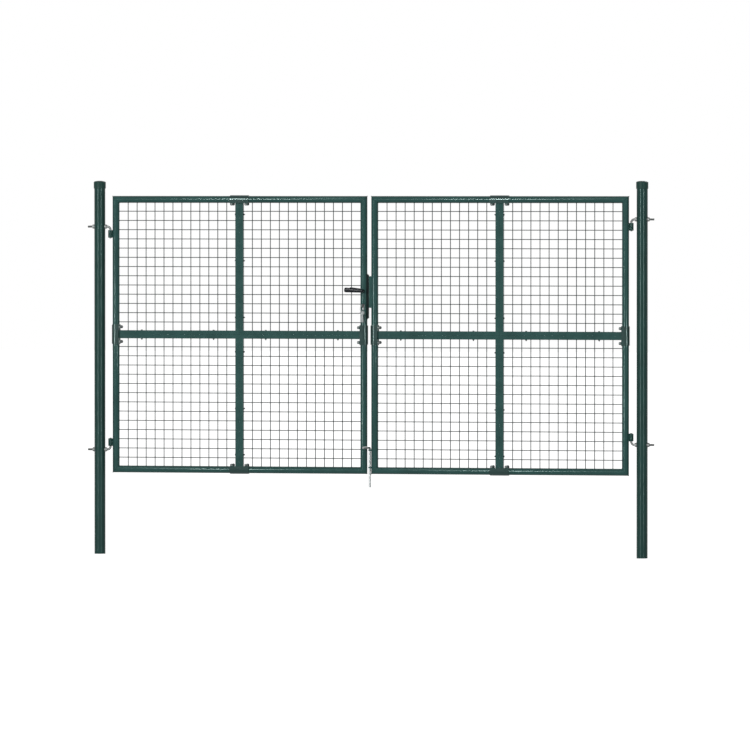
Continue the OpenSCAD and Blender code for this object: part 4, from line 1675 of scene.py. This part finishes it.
@dataclass
class Keys:
    """One key in the cylinder and two spare keys on its split ring."""

    leaf: Leaf
    bow_d: float = 0.023
    hole_d: float = 0.007
    rim: float = 0.0025
    neck: float = 0.002
    blade: float = 0.008
    shoulder: float = 0.003
    spare: float = 0.052
    point: float = 0.004
    cuts_from: float = 0.003
    cuts: tuple[float, ...] = (0.55, 0.9, 0.4, 0.75, 0.5, 0.85)
    cut_depth: float = 0.5
    thick: float = 0.002
    offset: float = 0.0022
    splay: float = 7.0
    ring_d: float = 0.030
    ring_wire: float = 0.0016
    ring_turns: float = 1.9
    ring_turn: float = 45.0
    play: float = 0.0009
    slot_depth: float = 0.0029

    def cut_edge(self, shoulder: float, tip: float) -> list[Pair]:
        """Gives the blade's edges below its shoulder: a point and a row of cuts.

        Args:
            shoulder: Height of the shoulder.
            tip: Height of the tip.

        Returns:
            Points from the tip's plain side up along the cuts.
        """
        half, start = self.blade / 2, tip + self.cuts_from
        pitch = (shoulder - tip - 2 * self.cuts_from) / len(self.cuts)
        nose_from, nose_to, crest, down, up = -0.2, 0.35, 0.95, 0.35, 0.6
        points = [(-half, tip + self.point), (half * nose_from, tip), (half * nose_to, tip)]
        for i, cut in enumerate(self.cuts):
            z, floor = start + pitch * i, half * (1 - self.cut_depth * cut)
            points += [(half * crest, z), (floor, z + pitch * down), (floor, z + pitch * up)]
        return points

    def add_key(self, shell: Shell, place: Matrix, length: float, cut: bool) -> None:
        """Adds a flat key with a round bow.

        Args:
            shell: Shell that collects the forms.
            place: Matrix of the hole in the bow; the blade points down.
            length: Length from the middle of the bow to the blade's end.
            cut: Gives the blade its point and cuts, where they show.
        """
        bow_r, half, near = self.bow_d / 2, self.blade / 2, -self.thick / 2
        bow_z = self.hole_d / 2 + self.rim - bow_r
        shoulder, tip = bow_z - bow_r - self.shoulder, bow_z - length
        start = math.asin(half / bow_r)
        span, steps = math.tau - 2 * start, 36
        turns = [-math.pi / 2 + start + span * i / steps for i in range(steps + 1)]
        edge = self.cut_edge(shoulder, tip) if cut else [(-half, tip), (half, tip)]
        points = [*arc(bow_r, turns, (0.0, bow_z)), (-half, shoulder), *edge, (half, shoulder)]
        hole = facing_front(circle(self.hole_d / 2, sides=20), near)
        shell.place = place
        shell.plate(facing_front(points, near), [hole], Vector((0, self.thick, 0)))

    def split_ring(self, place: Matrix) -> bpy.types.Object:
        """Winds a split ring of close turns of wire.

        Args:
            place: Matrix of its middle; the ring lies in the XZ plane.

        Returns:
            The ring.
        """
        shell, count, wire, slack = Shell(place), 96, self.ring_wire / 4, 1.02
        turns = [math.tau * self.ring_turns * i / count for i in range(count + 1)]
        path = []
        for i, (x, z) in enumerate(arc(self.ring_d / 2, turns)):
            path.append(Vector((x, (i / count - 0.5) * 2 * wire * slack, z)))
        shell.pipe(path, [wire] * len(path), sides=8)
        return shell.build("split_key_ring", smooth=60)

    def make(self, shop: Workshop) -> None:
        """Mounts the keys and their ring.

        Args:
            shop: Workshop that mounts the pieces.
        """
        lock, shell, radius = Lock(self.leaf), Shell(), self.ring_d / 2
        front = self.leaf.tube_d / 2 + lock.cylinder_proud
        out = front + self.neck + self.bow_d - self.rim - self.hole_d / 2
        hang = (self.hole_d - self.ring_wire) / 2 - self.play
        base = self.leaf.at(lock.stile, -out, lock.middle + lock.key_rise)
        inside = self.neck + self.bow_d / 2 + self.slot_depth
        self.add_key(shell, base @ turn(90, "Y") @ turn(90, "X"), inside, False)
        centre = base @ step(z=-hang - radius)
        drop = math.sqrt(radius ** 2 - self.offset ** 2) + hang
        twist, untwist = turn(self.ring_turn, "Z"), turn(-self.ring_turn, "Z")
        for way in (-1, 1):
            spot = twist @ step(way * self.offset, 0, -drop) @ untwist
            self.add_key(shell, centre @ spot @ turn(way * self.splay, "Y"), self.spare, True)
        keys = shell.build("flat_keys", bevel=0.0003)
        shop.mount(keys, Body.LEFT_LEAF, "nickel", "hanging_keys")
        shop.mount(self.split_ring(centre @ twist), Body.LEFT_LEAF, "zinc")


@dataclass
class Strike:
    """Strike channel welded to the right leaf's stile, opposite the lock."""

    leaf: Leaf
    top: float = 0.318
    bottom: float = 0.147
    width: float = 0.030
    wall: float = 0.0025
    clear: float = 0.0025
    bend: float = 0.003
    foot_share: float = 0.3
    slot: Pair = (0.009, 0.017)
    stitch: float = 0.022
    stitches: int = 4
    stitch_end: float = 0.6
    stitch_sunk: float = 0.0004
    weld: float = 0.0021

    def channel(self, lock: Lock) -> bpy.types.Object:
        """Bends the channel round its slot.

        Args:
            lock: The lock opposite, whose latch goes through the slot.

        Returns:
            The channel.
        """
        web = self.leaf.width + lock.face_proud + self.clear + self.wall / 2
        foot = self.leaf.width + self.leaf.gap + self.leaf.tube_d / 2
        half, bend, middle = (self.width - self.wall) / 2, self.bend, lock.latch_z
        slot_y, slot_z = self.slot[0] / 2, self.slot[1] / 2
        side = [(foot - self.leaf.tube_d * self.foot_share, half), (web + 2 * bend, half)]
        for a in quarter(steps=5):
            side.append((web + bend * (1 - math.sin(a)), half - bend * (1 - math.cos(a))))
        back = [(x, -y) for x, y in reversed(side)]
        profile = [*side, (web, slot_y), (web, 0.0), (web, -slot_y), *back]
        low, high = lock.middle + self.bottom, lock.middle + self.top
        levels = [low, (low + middle) / 2, middle - slot_z]
        levels += [middle + slot_z, (high + middle) / 2, high]
        first, slot_row = len(side), 2
        shell = Shell(self.leaf.place())
        shell.sheet(
            [flat(profile, z=z) for z in levels],
            lambda i, j: not (i == slot_row and first <= j <= first + 1))
        return shell.build("strike_sheet", bevel=0.0005, thickness=self.wall)

    def welds(self, lock: Lock) -> bpy.types.Object:
        """Stitches the channel to the stile on both sides.

        Args:
            lock: The lock opposite.

        Returns:
            The weld beads.
        """
        shell, radius = Shell(self.leaf.place()), self.leaf.tube_d / 2
        foot = self.leaf.width + self.leaf.gap + radius
        x = foot - math.sqrt(radius ** 2 - (self.width / 2) ** 2) - self.stitch_sunk
        low, margin = lock.middle + self.bottom, self.stitch * self.stitch_end
        span = self.top - self.bottom - 2 * margin
        for i in range(self.stitches):
            z = low + margin + span * i / (self.stitches - 1)
            for y in (-self.width / 2, self.width / 2):
                shell.seam(Vector((x, y, z)), self.stitch / 2, self.weld)
        return shell.build("strike_welds", smooth=60)

    def make(self, shop: Workshop) -> None:
        """Mounts the channel and its welds.

        Args:
            shop: Workshop that mounts the pieces.
        """
        lock = Lock(self.leaf)
        shop.mount(self.channel(lock), Body.RIGHT_LEAF, "coat", "strike_channel")
        shop.mount(self.welds(lock), Body.RIGHT_LEAF, "coat")


@dataclass
class DropBolt:
    """Drop bolt with its bent handle and the two guides on the right leaf's stile."""

    leaf: Leaf
    diameter: float = 0.012
    fit: float = 0.0003
    tip: float = 0.072
    tip_round: float = 0.004
    tip_share: float = 0.25
    low_guide: float = 0.035
    high_guide: float = 0.129
    guide_height: float = 0.008
    guide_wall: float = 0.0025
    guide_back: float = 0.0015
    guide_sunk: float = 0.003
    weld: float = 0.0018
    weld_pitch: float = 0.0012
    bend: float = 0.010
    handle: float = 0.062
    handle_round: float = 0.003
    handle_share: float = 0.45
    handle_turn: float = 64.0

    @property
    def axis(self) -> float:
        """Place of the bolt's axis in the left leaf's frame."""
        edge = self.leaf.width + self.leaf.gap
        return edge - self.guide_back - self.fit - self.diameter / 2

    @property
    def outer(self) -> float:
        """Outer radius of a guide."""
        return self.diameter / 2 + self.fit + self.guide_wall

    @property
    def touch(self) -> float:
        """Place where the guides' sides meet the stile."""
        radius = self.leaf.tube_d / 2
        return self.leaf.width + self.leaf.gap + radius - math.sqrt(radius ** 2 - self.outer ** 2)

    def rod(self) -> bpy.types.Object:
        """Bends the bolt: domed tip, stem, quarter bend and rounded handle.

        Returns:
            The bolt.
        """
        shell = Shell(self.leaf.at(x=self.axis) @ turn(self.handle_turn, "Z"))
        r, bend, least = self.diameter / 2, self.bend, 0.0004
        rest = self.high_guide + self.guide_height / 2 + self.fit + bend
        path, radii = [], []
        for a in quarter(steps=6):
            path.append(Vector((0, 0, -self.tip + self.tip_round * (1 - math.cos(a)))))
            share = self.tip_share + (1 - self.tip_share) * math.sin(a)
            radii.append(max(least, r * share))
        for a in quarter(steps=12):
            path.append(Vector((-bend * (1 - math.cos(a)), 0, rest - bend + bend * math.sin(a))))
            radii.append(r)
        for a in quarter(steps=6):
            path.append(Vector((-self.handle + self.handle_round * (1 - math.sin(a)), 0, rest)))
            share = self.handle_share + (1 - self.handle_share) * math.cos(a)
            radii.append(max(least, r * share))
        shell.pipe(path, radii, sides=24)
        return shell.build("drop_bolt_rod", smooth=50)

    def guides(self) -> bpy.types.Object:
        """Makes the two eyes that guide the bolt.

        Returns:
            The guides.
        """
        shell, root, steps = Shell(self.leaf.place()), self.touch + self.guide_sunk, 18
        half_turn = [math.pi * (0.5 + i / steps) for i in range(steps + 1)]
        front = arc(self.outer, half_turn, (self.axis, 0.0))
        outline = [*front, (root, -self.outer), (root, self.outer)]
        bore = circle(self.diameter / 2 + self.fit, sides=28)
        for z in (self.low_guide, self.high_guide):
            low = z - self.guide_height / 2
            hole = flat(bore, x=self.axis, z=low)
            shell.plate(flat(outline, z=low), [hole], Vector((0, 0, self.guide_height)))
        return shell.build("drop_bolt_eyes", bevel=0.0006)

    def welds(self) -> bpy.types.Object:
        """Makes the weld beads between the guides and the stile.

        Returns:
            The weld beads.
        """
        shell, half = Shell(self.leaf.place()), self.guide_height / 2
        for z in (self.low_guide, self.high_guide):
            for y in (-self.outer, self.outer):
                shell.seam(Vector((self.touch, y, z)), half, self.weld, self.weld_pitch)
        return shell.build("drop_bolt_eye_welds", smooth=60)

    def make(self, shop: Workshop) -> None:
        """Mounts the bolt and its guides.

        Args:
            shop: Workshop that mounts the pieces.
        """
        shop.mount(self.guides(), Body.RIGHT_LEAF, "coat", "drop_bolt_guides")
        shop.mount(self.welds(), Body.RIGHT_LEAF, "coat")
        shop.mount(self.rod(), Body.DROP_BOLT, "zinc", "drop_bolt")


# ---- Studio ----


@dataclass(frozen=True)
class Lamp:
    """Broad far lamp that lights the whole studio evenly.

    The azimuth runs to the right of the straight front and the height up from the floor,
    both in degrees. The spread is the lamp's apparent width in degrees, and the power is
    the light that falls on a face square to it.
    """

    name: str
    azimuth: float
    height: float
    spread: float
    power: float

    def make(self) -> None:
        """Adds the lamp to the scene."""
        data = bpy.data.lights.new(self.name, "SUN")
        data.angle, data.energy = math.radians(self.spread), self.power
        made = bpy.data.objects.new(self.name, data)
        made.rotation_euler = (math.radians(90 - self.height), 0, math.radians(self.azimuth))
        bpy.context.scene.collection.objects.link(made)


@dataclass
class Studio:
    """Floor, lights and camera."""

    reach: float = 60.0
    floor_thick: float = 0.01
    camera_at: tuple[float, float, float] = (13.521, -52.641, 2.071)
    yaw: float = 12.831
    tilt: float = -1.161
    lens: float = 480.6
    sensor: float = 36
    clip: Pair = (0.1, 500)
    sky: float = 0.24
    floor_tone: float = 0.6
    floor_lift: float = 0.75
    lamps: tuple[Lamp, ...] = (
        Lamp("key", azimuth=5, height=32, spread=20, power=0.45),
        Lamp("back_fill", azimuth=170, height=30, spread=30, power=1.2),
        Lamp("rail_sheen", azimuth=-13, height=12.5, spread=6, power=1.2),
        Lamp("left_sheen", azimuth=-26, height=1, spread=5, power=0.75),
        Lamp("right_sheen", azimuth=42, height=1, spread=5, power=0.65),
    )

    @staticmethod
    def seen_directly(graph: Graph) -> bpy.types.NodeSocket:
        """Gives a mask of the rays that the camera, mirrors and glass send out.

        Args:
            graph: Graph that gets the nodes.

        Returns:
            The mask.
        """
        ray = graph.node("LightPath").outputs
        shiny = graph.math("MAXIMUM", ray["Is Glossy Ray"], ray["Is Transmission Ray"])
        return graph.math("MAXIMUM", ray["Is Camera Ray"], shiny)

    def floor(self) -> None:
        """Lays a matt pale floor that is white to the camera wherever no shadow falls."""
        shell, r, tone = Shell(), self.reach, self.floor_tone
        corners = flat(((-r, -r), (r, -r), (r, r), (-r, r)))
        shell.plate(corners, [], Vector((0, 0, -self.floor_thick)))
        floor = shell.build("floor")
        material = bpy.data.materials.new("pale_floor")
        material.use_nodes = True
        graph = Graph(material.node_tree)
        graph.feed(material.node_tree.nodes["Principled BSDF"], {
            "Base Color": (tone, tone, tone, 1), "Roughness": 1.0, "Specular IOR Level": 0.0,
            "Emission Color": (1, 1, 1, 1),
            "Emission Strength": graph.product(self.seen_directly(graph), self.floor_lift),
        })
        floor.data.materials.append(material)

    def world(self) -> None:
        """Sets a plain sky that is white to the camera and to reflections."""
        world = bpy.data.worlds.new("studio_sky")
        world.use_nodes = True
        bpy.context.scene.world = world
        graph = Graph(world.node_tree)
        lift = graph.product(self.seen_directly(graph), 1 - self.sky)
        strength = graph.math("ADD", self.sky, lift)
        back = world.node_tree.nodes["Background"]
        graph.feed(back, {"Color": (1, 1, 1, 1), "Strength": strength})

    def camera(self) -> None:
        """Sets the camera, far off and level with the posts' tops."""
        data = bpy.data.cameras.new("camera")
        data.lens, data.sensor_width = self.lens, self.sensor
        data.clip_start, data.clip_end = self.clip
        made = bpy.data.objects.new("camera", data)
        made.location = self.camera_at
        made.rotation_euler = (math.radians(90 + self.tilt), 0, math.radians(self.yaw))
        bpy.context.scene.collection.objects.link(made)
        bpy.context.scene.camera = made

    def make(self) -> None:
        """Sets up the studio."""
        bpy.context.scene.view_settings.view_transform = "Standard"
        self.camera()
        self.floor()
        self.world()
        for lamp in self.lamps:
            lamp.make()


def main() -> None:
    """Builds the gate's pieces in order."""
    logging.basicConfig(level=logging.INFO, format="%(name)s %(message)s")
    Studio().make()
    shop = Workshop()
    Posts().make(shop)
    HookHinges().make(shop)
    for side in Side:
        for upper in (False, True):
            for lock in (False, True):
                QuarterPanel(Leaf(side), upper, lock).make(shop)
    for side in Side:
        Sleeves(Leaf(side)).make(shop)
        BarBolts(Leaf(side)).make(shop)
    for part in (Lock, Keys, Strike, DropBolt):
        part(Leaf(Side.LEFT)).make(shop)
    log.info("%d pieces in all", shop.count)


if __name__ == "__main__":
    main()
